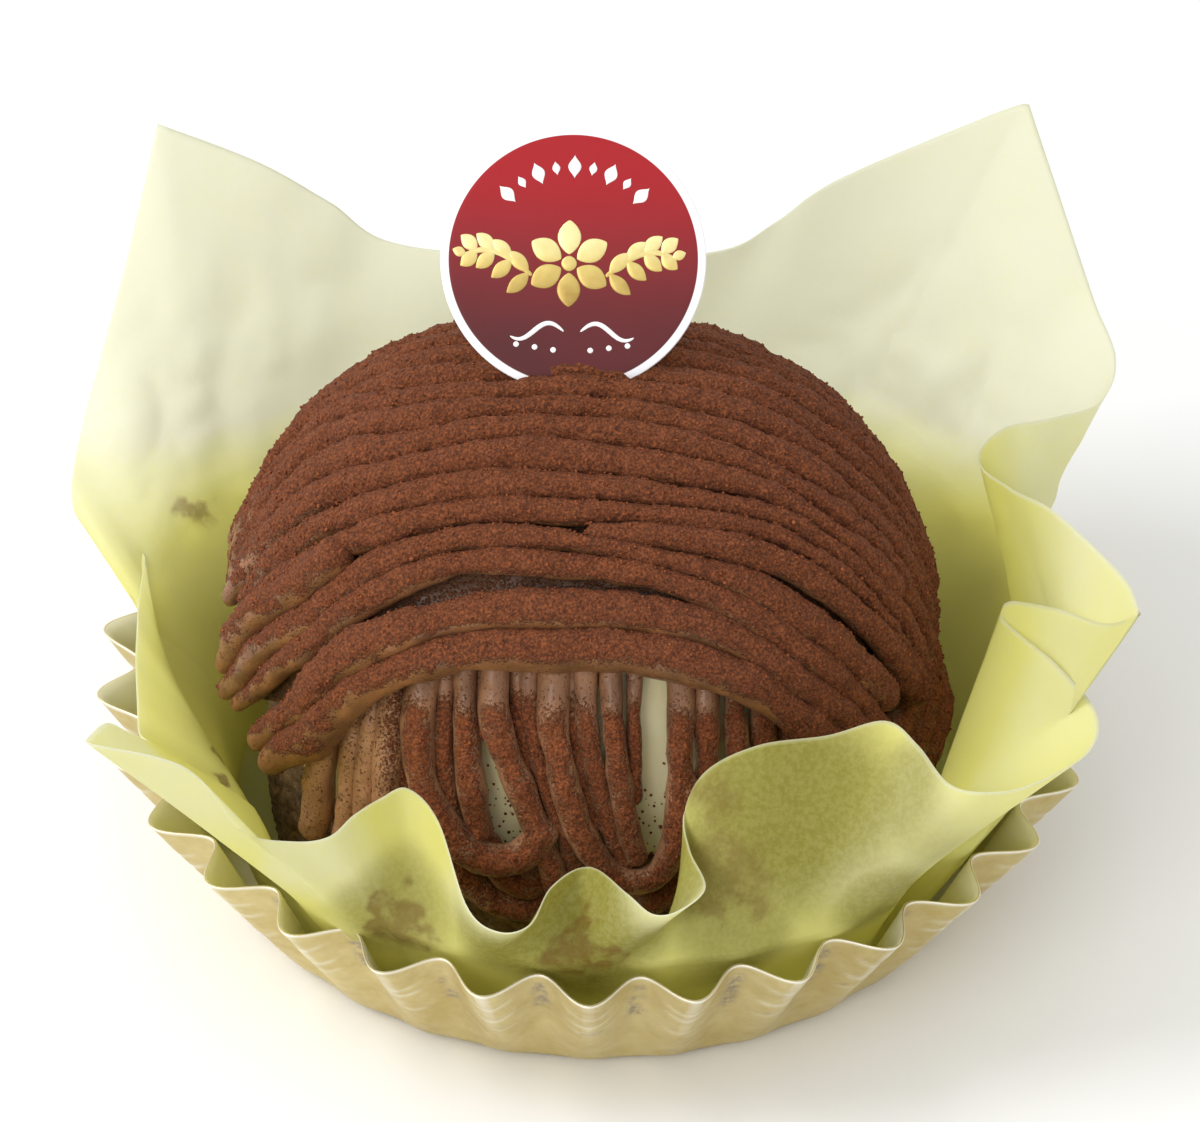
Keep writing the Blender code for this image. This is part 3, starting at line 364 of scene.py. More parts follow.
# Bed of paste under the upper strands, whipped cream and sponge
BED_DEPTH = 3.9
BED_THICKNESS = 0.9
BED_HALF_X = 32.3
BED_HOLLOW = 9.0
BED_ANGLE_DEG = 42.0
BED_END_DROP_DEG = 13.0
BED_END_X = (17.0, 28.0)
BED_RISE = 0.25
BED_LUMPS = ((0.22, 2.8, 41), (0.12, 1.1, 42))
BED_ROWS = 240
BED_COLUMNS = 120
CREAM_DEPTH = 7.6
CREAM_FLOOR_Z = 15.4
CREAM_SWELLS = ((0.35, 7.0, 51), (0.10, 2.4, 52))
CREAM_ROWS = 150
CREAM_COLUMNS = 110
SPONGE_HALF_X = 31.0
SPONGE_HALF_Y = 26.0
SPONGE_FLOOR_Z = 1.3
SPONGE_TOP_Z = 15.0
SPONGE_CRUMBS = ((0.28, 1.6, 61), (0.22, 0.7, 62))
SPONGE_COLUMNS = 420
SPONGE_FLAT_ROWS = 10
SPONGE_SIDE_ROWS = 44

# Loose cocoa crumbs: how many and how large
CRUMB_COUNT = 9500
CRUMB_SIZE = (0.07, 0.17)

# Pick
PICK_RADIUS = 12.9
PICK_THICKNESS = 0.5
PICK_LEAN_DEG = 39.0
PICK_CENTRE = (-3.1, 7.8, 63.0)
PICK_STEM_WIDTH = 6.0
PICK_STEM_LENGTH = 8.5
PICK_SHOULDER_SHARE = 0.6
PICK_FIELD_RADIUS = 12.1
PICK_EDGE_ROUND = 0.12
PICK_COLUMNS = 360
# The map of the card's back lies this far from the map of its front
PICK_BACK_SHIFT = 500.0
# Print, in the plate's plane: strokes, blossom, sprigs, arc of diamonds and scrolls
STROKE_ROWS = 36
STROKE_SIDES = 16
LEAF_STEPS = 11
BLOSSOM_CENTRE = (-0.4, -0.4)
BLOSSOM_PETALS = 6
SPRIG_SPAN = (3.6, 10.0)
SPRIG_LEAVES = (1, 6, 11, 16)
SPRIG_LEAF_DEG = 52.0
DIAMOND_COUNT = 9
DIAMOND_RADIUS = 9.0
DIAMOND_STEP_DEG = 11.5
SCROLL_SPAN = (0.8, 6.0)
SCROLL_Y = -7.0

NOISE_SIDE = 40


def soft_noise(points, size, seed):
    """Smooth noise from -1 to 1: random values at the corners of cubes of the given size, blended between
    the corners by the ramp t·t·(3-2t)."""
    values = np.random.default_rng(seed).uniform(-1.0, 1.0, (NOISE_SIDE,) * 3)
    place = np.asarray(points, dtype=float) / size
    cell = np.floor(place).astype(int)
    t = place - cell
    t = t * t * (3.0 - 2.0 * t)
    cell %= NOISE_SIDE
    after = (cell + 1) % NOISE_SIDE
    total = np.zeros(place.shape[:-1])
    for corner in np.ndindex(2, 2, 2):
        index = tuple(after[..., a] if c else cell[..., a] for a, c in enumerate(corner))
        weight = np.ones(place.shape[:-1])
        for a, c in enumerate(corner):
            weight = weight * (t[..., a] if c else 1.0 - t[..., a])
        total += weight * values[index]
    return total


def layered_noise(points, layers):
    """Sum of soft noises, each given by its height, size and seed."""
    return sum(height * soft_noise(points, size, seed) for height, size, seed in layers)


def ramp(values, low, high):
    """Cubic ramp from 0 at low to 1 at high."""
    t = np.clip((np.asarray(values, dtype=float) - low) / (high - low), 0.0, 1.0)
    return t * t * (3.0 - 2.0 * t)


def unit(vectors):
    """Vectors at length 1."""
    return vectors / np.maximum(np.linalg.norm(vectors, axis=-1, keepdims=True), 1e-9)


def catmull_rom(p0, p1, p2, p3, t):
    """Cubic from p1 to p2 whose ends run along p0 to p2 and p1 to p3."""
    return 0.5 * (2 * p1 + (p2 - p0) * t + (2 * p0 - 5 * p1 + 4 * p2 - p3) * t ** 2
                  + (3 * p1 - p0 - 3 * p2 + p3) * t ** 3)


def spline_at(rows, place):
    """Catmull-Rom spline through rows at whole numbers, read at the given places and straight on past both
    ends."""
    rows = np.asarray(rows, dtype=float)
    rows = np.concatenate([[2.0 * rows[0] - rows[1]], rows, [2.0 * rows[-1] - rows[-2]]])
    i = np.clip(np.floor(place).astype(int), 0, len(rows) - 4)
    t = place - i
    if rows.ndim == 2:
        t = t[:, None]
    return catmull_rom(rows[i], rows[i + 1], rows[i + 2], rows[i + 3], t)


def spots_between(grid, seed):
    """One point at random inside each cell of a grid of points."""
    cells = (2, grid.shape[0] - 1, grid.shape[1] - 1, 1)
    first, second = np.random.default_rng(seed).random(cells)
    near = grid[:-1, :-1] + (grid[:-1, 1:] - grid[:-1, :-1]) * first
    far = grid[1:, :-1] + (grid[1:, 1:] - grid[1:, :-1]) * first
    return near + (far - near) * second


def full_turn(count):
    """Directions all round, in equal steps."""
    return 2.0 * math.pi * np.arange(count) / count


def round_points(radius, turn, height):
    """Points at a distance from the upright axis, in a direction round it and at a height."""
    radius, turn, height = np.broadcast_arrays(radius, turn, height)
    return np.stack([radius * np.cos(turn), radius * np.sin(turn), height], -1)


def quadratic(start, guide, end, t):
    """Curve from start to end, drawn towards a guide point between them."""
    return (1 - t) ** 2 * start + 2 * t * (1 - t) * guide + t * t * end


def walked_so_far(line):
    """Distance walked along a polyline at each of its points."""
    steps = np.linalg.norm(np.diff(line, axis=0), axis=1)
    return np.concatenate([[0.0], np.cumsum(steps)])


def line_length(line):
    """Length of a polyline."""
    return float(np.linalg.norm(np.diff(line, axis=0), axis=1).sum())


def along_line(line, wanted):
    """Points at the wanted distances along a polyline."""
    walked = walked_so_far(line)
    return np.stack([np.interp(wanted, walked, line[:, axis]) for axis in range(3)], -1)


def ring_quads(rows, columns, start=0):
    """Quads between the rings of a grid whose columns close on themselves."""
    i = np.arange(rows - 1)[:, None] * columns + start
    j = np.arange(columns)[None, :]
    k = (j + 1) % columns
    return np.stack([i + j, i + k, i + columns + k, i + columns + j], -1).reshape(-1, 4)


def pole_fans(rows, columns, start, first_pole, last_pole):
    """Triangles that close the first and the last ring on their poles."""
    j = np.arange(columns)
    k = (j + 1) % columns
    last = start + (rows - 1) * columns
    first_fan = np.stack([np.full(columns, first_pole), start + k, start + j], -1)
    last_fan = np.stack([np.full(columns, last_pole), last + j, last + k], -1)
    return np.concatenate([first_fan, last_fan])


class Shell:
    """Closed surfaces gathered for one piece: points, faces and values at the points."""

    def __init__(self):
        self.points = []
        self.quads = []
        self.triangles = []
        self.values = {}
        self.count = 0

    def add_rings(self, rings, first_pole, last_pole, **values):
        """Adds a closed surface of rings (rows, columns, 3) with a pole at either end."""
        rows, columns = rings.shape[:2]
        start = self.count
        total = rows * columns
        self.points.append(np.concatenate([rings.reshape(-1, 3), [first_pole], [last_pole]]))
        self.quads.append(ring_quads(rows, columns, start))
        self.triangles.append(pole_fans(rows, columns, start, start + total, start + total + 1))
        for name, value in values.items():
            run = np.concatenate([value.ravel(), [value[0].mean()], [value[-1].mean()]])
            self.values.setdefault(name, []).append(run)
        self.count += total + 2

    def faces(self):
        """All quads, then all triangles."""
        return [np.concatenate(self.quads), np.concatenate(self.triangles)]


def add_piece(name, points, faces, finish, node, values=None, plane=None):
    """Makes one finished piece from points in millimetres, gives it its body and its finish's slot, and hides
    the imported part of its node.
    values are numbers at the points, and plane is a map of two coordinates at the points."""
    loops = np.concatenate([block.ravel() for block in faces])
    sizes = np.concatenate([np.full(len(block), block.shape[1]) for block in faces])
    starts = np.concatenate([[0], np.cumsum(sizes)[:-1]])
    mesh = bpy.data.meshes.new(name)
    mesh.vertices.add(len(points))
    mesh.vertices.foreach_set("co", (np.asarray(points) * MM).astype(np.float32).ravel())
    mesh.loops.add(len(loops))
    mesh.loops.foreach_set("vertex_index", loops.astype(np.int32))
    mesh.polygons.add(len(sizes))
    mesh.polygons.foreach_set("loop_start", starts.astype(np.int32))
    mesh.update(calc_edges=True)
    for value_name, value in (values or {}).items():
        layer = mesh.attributes.new(value_name, "FLOAT", "POINT")
        layer.data.foreach_set("value", np.asarray(value, dtype=np.float32).ravel())
    if plane is not None:
        layer = mesh.uv_layers.new(name="plane")
        layer.data.foreach_set("uv", np.asarray(plane)[loops].astype(np.float32).ravel())
    mesh.materials.append(finish)
    mesh.shade_smooth()
    piece = bpy.data.objects.new(name, mesh)
    bpy.context.scene.collection.objects.link(piece)
    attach(piece, "root")
    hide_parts(node)
    return piece


def add_shell(name, shell, finish, node):
    """Makes one finished piece of all the surfaces in a shell."""
    values = {key: np.concatenate(runs) for key, runs in shell.values.items()}
    add_piece(name, np.concatenate(shell.points), shell.faces(), finish, node, values)


# Finishes

def new_finish(name):
    """Empty Principled finish: the material, its node tree and its shader."""
    material = bpy.data.materials.new(name)
    material.use_nodes = True
    tree = material.node_tree
    return material, tree, tree.nodes["Principled BSDF"]


def feed(tree, socket, value):
    """Links a socket to another one, or sets it to a number, a vector or a colour."""
    if isinstance(value, bpy.types.NodeSocket):
        tree.links.new(value, socket)
    elif isinstance(value, tuple):
        socket.default_value = value + (1.0,) * (len(socket.default_value) - len(value))
    else:
        socket.default_value = value


def fill(tree, node, values):
    """Feeds a node's inputs by their names."""
    for name, value in values.items():
        feed(tree, node.inputs[name], value)


def speckle(tree, scale, detail=2.0, rough=0.5):
    """Noise on Object coordinates."""
    place = tree.nodes.new("ShaderNodeTexCoord")
    noise = tree.nodes.new("ShaderNodeTexNoise")
    fill(tree, noise, {
        "Vector": place.outputs["Object"], "Scale": scale, "Detail": detail, "Roughness": rough})
    return noise.outputs["Fac"]


def value_at(tree, name):
    """Value stored at the points of the piece."""
    reader = tree.nodes.new("ShaderNodeAttribute")
    reader.attribute_type = "GEOMETRY"
    reader.attribute_name = name
    return reader.outputs["Fac"]


def sum_of(tree, operation, first, second, clamp=False):
    """One step of arithmetic between sockets or numbers."""
    step = tree.nodes.new("ShaderNodeMath")
    step.operation = operation
    step.use_clamp = clamp
    feed(tree, step.inputs[0], first)
    feed(tree, step.inputs[1], second)
    return step.outputs[0]


def between(tree, source, low, high, low_out=0.0, high_out=1.0):
    """Smooth step of a socket from one range to another."""
    step = tree.nodes.new("ShaderNodeMapRange")
    step.interpolation_type = "SMOOTHSTEP"
    fill(tree, step, {
        "Value": source, "From Min": low, "From Max": high, "To Min": low_out, "To Max": high_out})
    return step.outputs["Result"]


def colour_ramp(tree, source, stops):
    """Colours at places from 0 to 1."""
    node = tree.nodes.new("ShaderNodeValToRGB")
    elements = node.color_ramp.elements
    while len(elements) < len(stops):
        elements.new(0.5)
    for element, (place, colour) in zip(elements, stops):
        element.position = place
        element.color = (*colour, 1.0)
    tree.links.new(source, node.inputs["Fac"])
    return node.outputs["Color"]


def blend_colours(tree, factor, first, second):
    """Mix of two colours by a factor."""
    mix = tree.nodes.new("ShaderNodeMix")
    mix.data_type = "RGBA"
    for number, value in ((0, factor), (6, first), (7, second)):
        feed(tree, mix.inputs[number], value)
    return mix.outputs[2]


def raise_surface(tree, shader, height, distance, strength=1.0):
    """Bump of a given depth in metres."""
    bump = tree.nodes.new("ShaderNodeBump")
    fill(tree, bump, {"Height": height, "Distance": distance, "Strength": strength})
    tree.links.new(bump.outputs["Normal"], shader.inputs["Normal"])
    return bump.outputs["Normal"]


PASTE_DARK = (0.125, 0.056, 0.024)
PASTE_LIGHT = (0.285, 0.120, 0.046)
# Paste of the five left strands, painted paler than the other lower strands: painted light from the left
TAN_DARK = (0.300, 0.145, 0.075)
TAN_LIGHT = (0.500, 0.260, 0.140)
# Paste of the hanging strands, painted lighter than the paste on top: painted light on their front faces
HANGING_DARK = (0.170, 0.080, 0.042)
HANGING_LIGHT = (0.360, 0.175, 0.090)
# Paste of the bed, painted darker than the strands' paste: painted shade of the gaps it is seen through
BED_DARK = (0.080, 0.036, 0.018)
BED_LIGHT = (0.150, 0.072, 0.038)
COCOA_DARK = (0.062, 0.018, 0.007)
COCOA_MIDDLE = (0.140, 0.038, 0.012)
COCOA_LIGHT = (0.250, 0.076, 0.025)
# The cocoa is painted brighter on the hanging strands and in loose crumbs: painted light that lifts them out
# of the shade they lie in
COCOA_PAINTED_LIGHT = 1.3
# The noise of the grains is stretched by the first, and the cocoa closes between the other two
GRAIN_SPREAD = 2.6
GRAIN_COVER = (1.50, 2.10)


def cocoa_colour(tree, brighter=1.0):
    """Rust brown powder whose tone varies at random, partly its own and partly painted: darker pits as painted
    shade and lighter grains as painted highlights.
    """
    powder = blend_colours(tree, 0.16, speckle(tree, 3600.0, 3.0, 0.6), speckle(tree, 700.0, 3.0, 0.6))
    stops = []
    for place, colour in ((0.36, COCOA_DARK), (0.50, COCOA_MIDDLE), (0.65, COCOA_LIGHT)):
        stops.append((place, tuple(brighter * part for part in colour)))
    return colour_ramp(tree, powder, stops)


def make_strand_finish(name, dark, light, brighter=1.0):
    """Smooth moist paste with cocoa lying where the stored value says, in grains at its border."""
    material, tree, shader = new_finish(name)
    grains = sum_of(tree, "MULTIPLY", speckle(tree, 3400.0, 2.0, 0.7), GRAIN_SPREAD)
    cover = between(tree, sum_of(tree, "ADD", value_at(tree, "cocoa"), grains), *GRAIN_COVER)
    paste = colour_ramp(tree, speckle(tree, 260.0, 3.0), ((0.3, dark), (0.7, light)))
    fill(tree, shader, {
        "Base Color": blend_colours(tree, cover, paste, cocoa_colour(tree, brighter)),
        "Roughness": between(tree, cover, 0.0, 1.0, 0.30, 0.95),
        "Specular IOR Level": 0.32,
        "Subsurface Weight": 0.06,
        "Subsurface Radius": (0.0015, 0.0008, 0.0004),
        "Subsurface Scale": 1.0,
    })
    powder = sum_of(tree, "MULTIPLY", speckle(tree, 3000.0, 3.0, 0.65), cover)
    skin = sum_of(tree, "MULTIPLY", speckle(tree, 900.0, 2.0), 0.35)
    raise_surface(tree, shader, sum_of(tree, "ADD", powder, skin), 0.00030)
    return material


def make_crumb_finish():
    """Loose cocoa crumbs, their cocoa painted brighter as painted light."""
    material, tree, shader = new_finish("cocoa_crumb")
    colour = cocoa_colour(tree, COCOA_PAINTED_LIGHT)
    fill(tree, shader, {"Base Color": colour, "Roughness": 0.95, "Specular IOR Level": 0.25})
    return material


CREAM_DEEP = (0.86, 0.77, 0.44)
CREAM_PALE = (0.93, 0.86, 0.57)


def make_cream_finish():
    """Pale whipped cream with a faint moist sheen."""
    material, tree, shader = new_finish("whipped_cream_finish")
    fill(tree, shader, {
        "Base Color": colour_ramp(tree, speckle(tree, 220.0, 3.0), ((0.3, CREAM_DEEP), (0.7, CREAM_PALE))),
        "Roughness": between(tree, speckle(tree, 700.0), 0.3, 0.7, 0.38, 0.58),
        "Subsurface Weight": 0.15,
        "Subsurface Radius": (0.003, 0.002, 0.0012),
        "Subsurface Scale": 1.0,
    })
    raise_surface(tree, shader, speckle(tree, 1500.0, 3.0), 0.00012, 0.6)
    return material


SPONGE_PORE_SHADE = (0.045, 0.022, 0.008)
SPONGE_BROWN = (0.160, 0.090, 0.035)
SPONGE_LIGHT = (0.290, 0.180, 0.075)


def make_sponge_finish():
    """Dark baked sponge with pores, painted darkest in the pores' hollows as painted shade."""
    material, tree, shader = new_finish("sponge_crumb")
    pores = speckle(tree, 900.0, 4.0, 0.7)
    # the pores' darkest colour is painted shade in the hollows of the bump
    colour = colour_ramp(tree, pores, ((0.30, SPONGE_PORE_SHADE), (0.55, SPONGE_BROWN), (0.75, SPONGE_LIGHT)))
    fill(tree, shader, {"Base Color": colour, "Roughness": between(tree, pores, 0.3, 0.7, 0.95, 0.75)})
    raise_surface(tree, shader, pores, 0.0006)
    return material


FOIL_GOLD = (0.52, 0.41, 0.155)
FOIL_PALE = (0.63, 0.53, 0.255)
FOIL_SILVER = (0.88, 0.86, 0.76)
FOIL_SMUDGE = (0.30, 0.24, 0.17)
# Inner side: paler and duller than the gold, and painted lighter still to lift the shade in the pockets under
# the paper: painted light
FOIL_INSIDE = (0.86, 0.82, 0.64)


def make_foil_finish():
    """Satin gold foil: mottled, silvery along the ridges, the creases and the rim, smudged in folds, its inner
    side paler and duller, and painted lighter still as painted light.
    """
    material, tree, shader = new_finish("gold_foil_finish")
    mottle = blend_colours(tree, 0.5, speckle(tree, 420.0, 4.0, 0.6), speckle(tree, 90.0, 2.0))
    gold = colour_ramp(tree, mottle, ((0.38, FOIL_GOLD), (0.62, FOIL_PALE)))
    silvered = blend_colours(tree, value_at(tree, "ridge"), gold, FOIL_SILVER)
    grain = between(tree, speckle(tree, 1300.0, 4.0, 0.7), 0.35, 0.62)
    marks = sum_of(tree, "MULTIPLY", value_at(tree, "smudge"), grain, clamp=True)
    marked = blend_colours(tree, marks, silvered, FOIL_SMUDGE)
    # the inner side's pale colour is partly painted light
    inside = value_at(tree, "inside")
    fill(tree, shader, {
        "Base Color": blend_colours(tree, inside, marked, FOIL_INSIDE),
        "Metallic": between(tree, inside, 0.0, 1.0, 0.72, 0.10),
        "Roughness": between(tree, speckle(tree, 700.0, 3.0), 0.3, 0.7, 0.34, 0.50),
        "Specular IOR Level": 0.5,
    })
    raise_surface(tree, shader, speckle(tree, 1600.0, 4.0, 0.7), 0.00006, 0.5)
    return material


# Paper colours: pale, and a deep yellow that stands for painted shade where the paper is doubled or shaded
PAPER_PALE = (0.870, 0.868, 0.730)
PAPER_YELLOW = (0.850, 0.830, 0.310)
# olive of greasy spots and of painted shade
PAPER_GREASE_SHADE_OLIVE = (0.420, 0.385, 0.070)
GLOW_PALE = (0.890, 0.888, 0.750)
GLOW_YELLOW = (0.890, 0.870, 0.370)
PAPER_STAIN = (0.270, 0.135, 0.020)
PAPER_LIGHT_THROUGH = 0.56


def make_paper_finish():
    """Thin greaseproof paper: cloudy pale yellow, lets light through, deeper yellow where shade is painted,
    olive where it has greasy spots and painted shade, and brown where it is stained."""
    material, tree, shader = new_finish("greaseproof_paper")
    cloud = blend_colours(tree, 0.5, speckle(tree, 140.0, 3.0, 0.6), speckle(tree, 1500.0, 3.0, 0.6))
    drift = between(tree, cloud, 0.3, 0.7, 0.09, -0.09)
    # tint of the paper and painted shade, with a cloudy drift
    tint_and_shade = sum_of(tree, "ADD", value_at(tree, "tint_and_shade"), drift, clamp=True)
    fine = between(tree, speckle(tree, 1700.0, 4.0, 0.7), 0.36, 0.64, 0.80, 1.0)
    # olive of greasy spots and painted shade, grainy
    grease_and_shade = sum_of(tree, "MULTIPLY", value_at(tree, "grease_and_shade"), fine, clamp=True)
    grain = between(tree, speckle(tree, 500.0, 4.0, 0.7), 0.34, 0.56, 0.35, 1.0)
    soak = sum_of(tree, "MULTIPLY", value_at(tree, "stain"), grain, clamp=True)

    def soaked(pale, yellow):
        """Paper between two colours, then the olive of greasy spots and painted shade, then stains."""
        body = blend_colours(tree, tint_and_shade, pale, yellow)
        return blend_colours(tree, soak, blend_colours(tree, grease_and_shade, body, PAPER_GREASE_SHADE_OLIVE), PAPER_STAIN)

    fill(tree, shader, {
        "Base Color": soaked(PAPER_PALE, PAPER_YELLOW), "Roughness": 0.55, "Specular IOR Level": 0.3})
    fibres = raise_surface(tree, shader, speckle(tree, 1100.0, 4.0, 0.7), 0.00006, 0.5)
    glow = tree.nodes.new("ShaderNodeBsdfTranslucent")
    fill(tree, glow, {"Color": soaked(GLOW_PALE, GLOW_YELLOW), "Normal": fibres})
    both = tree.nodes.new("ShaderNodeMixShader")
    for number, value in enumerate((PAPER_LIGHT_THROUGH, shader.outputs[0], glow.outputs[0])):
        feed(tree, both.inputs[number], value)
    tree.links.new(both.outputs[0], tree.nodes["Material Output"].inputs["Surface"])
    return material


CARD_WHITE = (0.86, 0.86, 0.88)
CARD_TOP = (0.34, 0.007, 0.012)
CARD_MIDDLE = (0.21, 0.012, 0.016)
CARD_FOOT = (0.070, 0.012, 0.014)


def make_card_finish():
    """Glossy card: white margin and back, field shaded from red at the top to dark red at the foot.
    The plane map holds millimetres from the plate's centre, moved by half a metre on the back."""
    material, tree, shader = new_finish("printed_card")
    plane = tree.nodes.new("ShaderNodeUVMap")
    plane.uv_map = "plane"
    parts = tree.nodes.new("ShaderNodeSeparateXYZ")
    tree.links.new(plane.outputs["UV"], parts.inputs[0])
    reach = tree.nodes.new("ShaderNodeVectorMath")
    reach.operation = "LENGTH"
    tree.links.new(plane.outputs["UV"], reach.inputs[0])
    shade = between(tree, parts.outputs[1], -9.0, 10.0)
    field = colour_ramp(tree, shade, ((0.0, CARD_FOOT), (0.55, CARD_MIDDLE), (1.0, CARD_TOP)))
    inside = between(tree, reach.outputs["Value"], PICK_FIELD_RADIUS + 0.05, PICK_FIELD_RADIUS - 0.05)
    grain = between(tree, speckle(tree, 60.0, 2.0), 0.3, 0.7, 0.0, 0.12)
    fill(tree, shader, {
        "Base Color": blend_colours(tree, inside, CARD_WHITE, blend_colours(tree, grain, field, CARD_TOP)),
        "Roughness": between(tree, speckle(tree, 300.0), 0.3, 0.7, 0.36, 0.48),
        "Specular IOR Level": 0.3,
    })
    raise_surface(tree, shader, speckle(tree, 500.0, 2.0), 0.00003, 0.4)
    return material


GILT_DARK = (0.42, 0.27, 0.060)
GILT_MIDDLE = (0.66, 0.50, 0.150)
GILT_LIGHT = (0.86, 0.76, 0.36)
PRINT_GREY = (0.80, 0.78, 0.78)
PRINT_WHITE = (0.88, 0.87, 0.87)


def make_gilt_finish():
    """Printed gold, brighter upwards."""
    material, tree, shader = new_finish("gilt_print")
    place = tree.nodes.new("ShaderNodeTexCoord")
    parts = tree.nodes.new("ShaderNodeSeparateXYZ")
    tree.links.new(place.outputs["Object"], parts.inputs[0])
    height = between(tree, parts.outputs[2], MM * (PICK_CENTRE[2] - 4.0), MM * (PICK_CENTRE[2] + 4.0))
    grain = sum_of(tree, "MULTIPLY", speckle(tree, 900.0), 0.35)
    colour = colour_ramp(tree, sum_of(tree, "ADD", height, grain),
                         ((0.2, GILT_DARK), (0.6, GILT_MIDDLE), (1.0, GILT_LIGHT)))
    fill(tree, shader, {"Base Color": colour, "Metallic": 0.35, "Roughness": 0.32})
    return material


def make_white_print_finish():
    """Printed white."""
    material, tree, shader = new_finish("white_print")
    colour = colour_ramp(tree, speckle(tree, 700.0), ((0.3, PRINT_GREY), (0.7, PRINT_WHITE)))
    fill(tree, shader, {"Base Color": colour, "Roughness": 0.35})
    return material


# Cake: forms shared by its layers

def dome_section(x, depth):
    """Share of the dome's full section left at x: one minus the distance from the middle to a power,
    and the whole to a second power."""
    across = np.abs(x - DOME_CENTRE_X) / (DOME_HALF_X - depth)
    return np.maximum(1.0 - across ** DOME_SQUARE_X, 0.0) ** (1.0 / DOME_SQUARE_Z)


def dome_stations(reach, share, count):
    """Places x along the dome, closer together towards its ends: the sine of a share of a quarter turn."""
    return DOME_CENTRE_X + reach * np.sin(0.5 * math.pi * np.linspace(-share, share, count))


def dome_point(x, angle, depth):
    """Points of the dome at x and at an angle: 0 degrees in front, 90 on top, 180 at the back."""
    x, angle = np.broadcast_arrays(np.asarray(x, dtype=float), np.asarray(angle, dtype=float))
    section = dome_section(x, depth)
    turn = np.radians(angle)
    y = -(DOME_HALF_Y - depth) * section * np.cos(turn)
    z = DOME_BASE_Z + (DOME_RISE - depth) * section * np.sin(turn)
    return np.stack([x, y, z], -1)


def dome_outward(points):
    """Direction out of the dome: away from its base line, flattened as its half widths say."""
    halves = np.array([DOME_HALF_X, DOME_HALF_Y, DOME_RISE])
    scaled = (points - [DOME_CENTRE_X, 0.0, DOME_BASE_Z]) / halves
    return unit(np.abs(scaled) ** DOME_OUTWARD_POWERS * np.sign(scaled) / halves)


def tube_rows(length, radius):
    """Distances along a tube, close together in the two round ends."""
    turn = np.linspace(STRAND_END_START, 0.5 * math.pi, STRAND_END_ROWS + 1)[:-1]
    cap = radius * (1.0 - np.cos(turn))
    steps = max(int((length - 2.0 * radius) / STRAND_STEP), 4)
    return np.concatenate([cap, np.linspace(radius, length - radius, steps), (length - cap)[::-1]])


def cap_share(from_end, radius):
    """Share of the radius along a tube whose ends are half balls."""
    near = np.clip(from_end / radius, 0.0, 1.0)
    return np.sqrt(np.maximum(near * (2.0 - near), 1e-6))


def ring_turns():
    """Turns round a strand: close together on the side that shows."""
    outer = math.radians(STRAND_OUTER_SPREAD_DEG) / 2.0
    shown = np.linspace(-outer, outer, STRAND_OUTER)
    hidden = np.linspace(outer, 2.0 * math.pi - outer, STRAND_INNER + 2)[1:-1]
    return np.concatenate([shown, hidden])


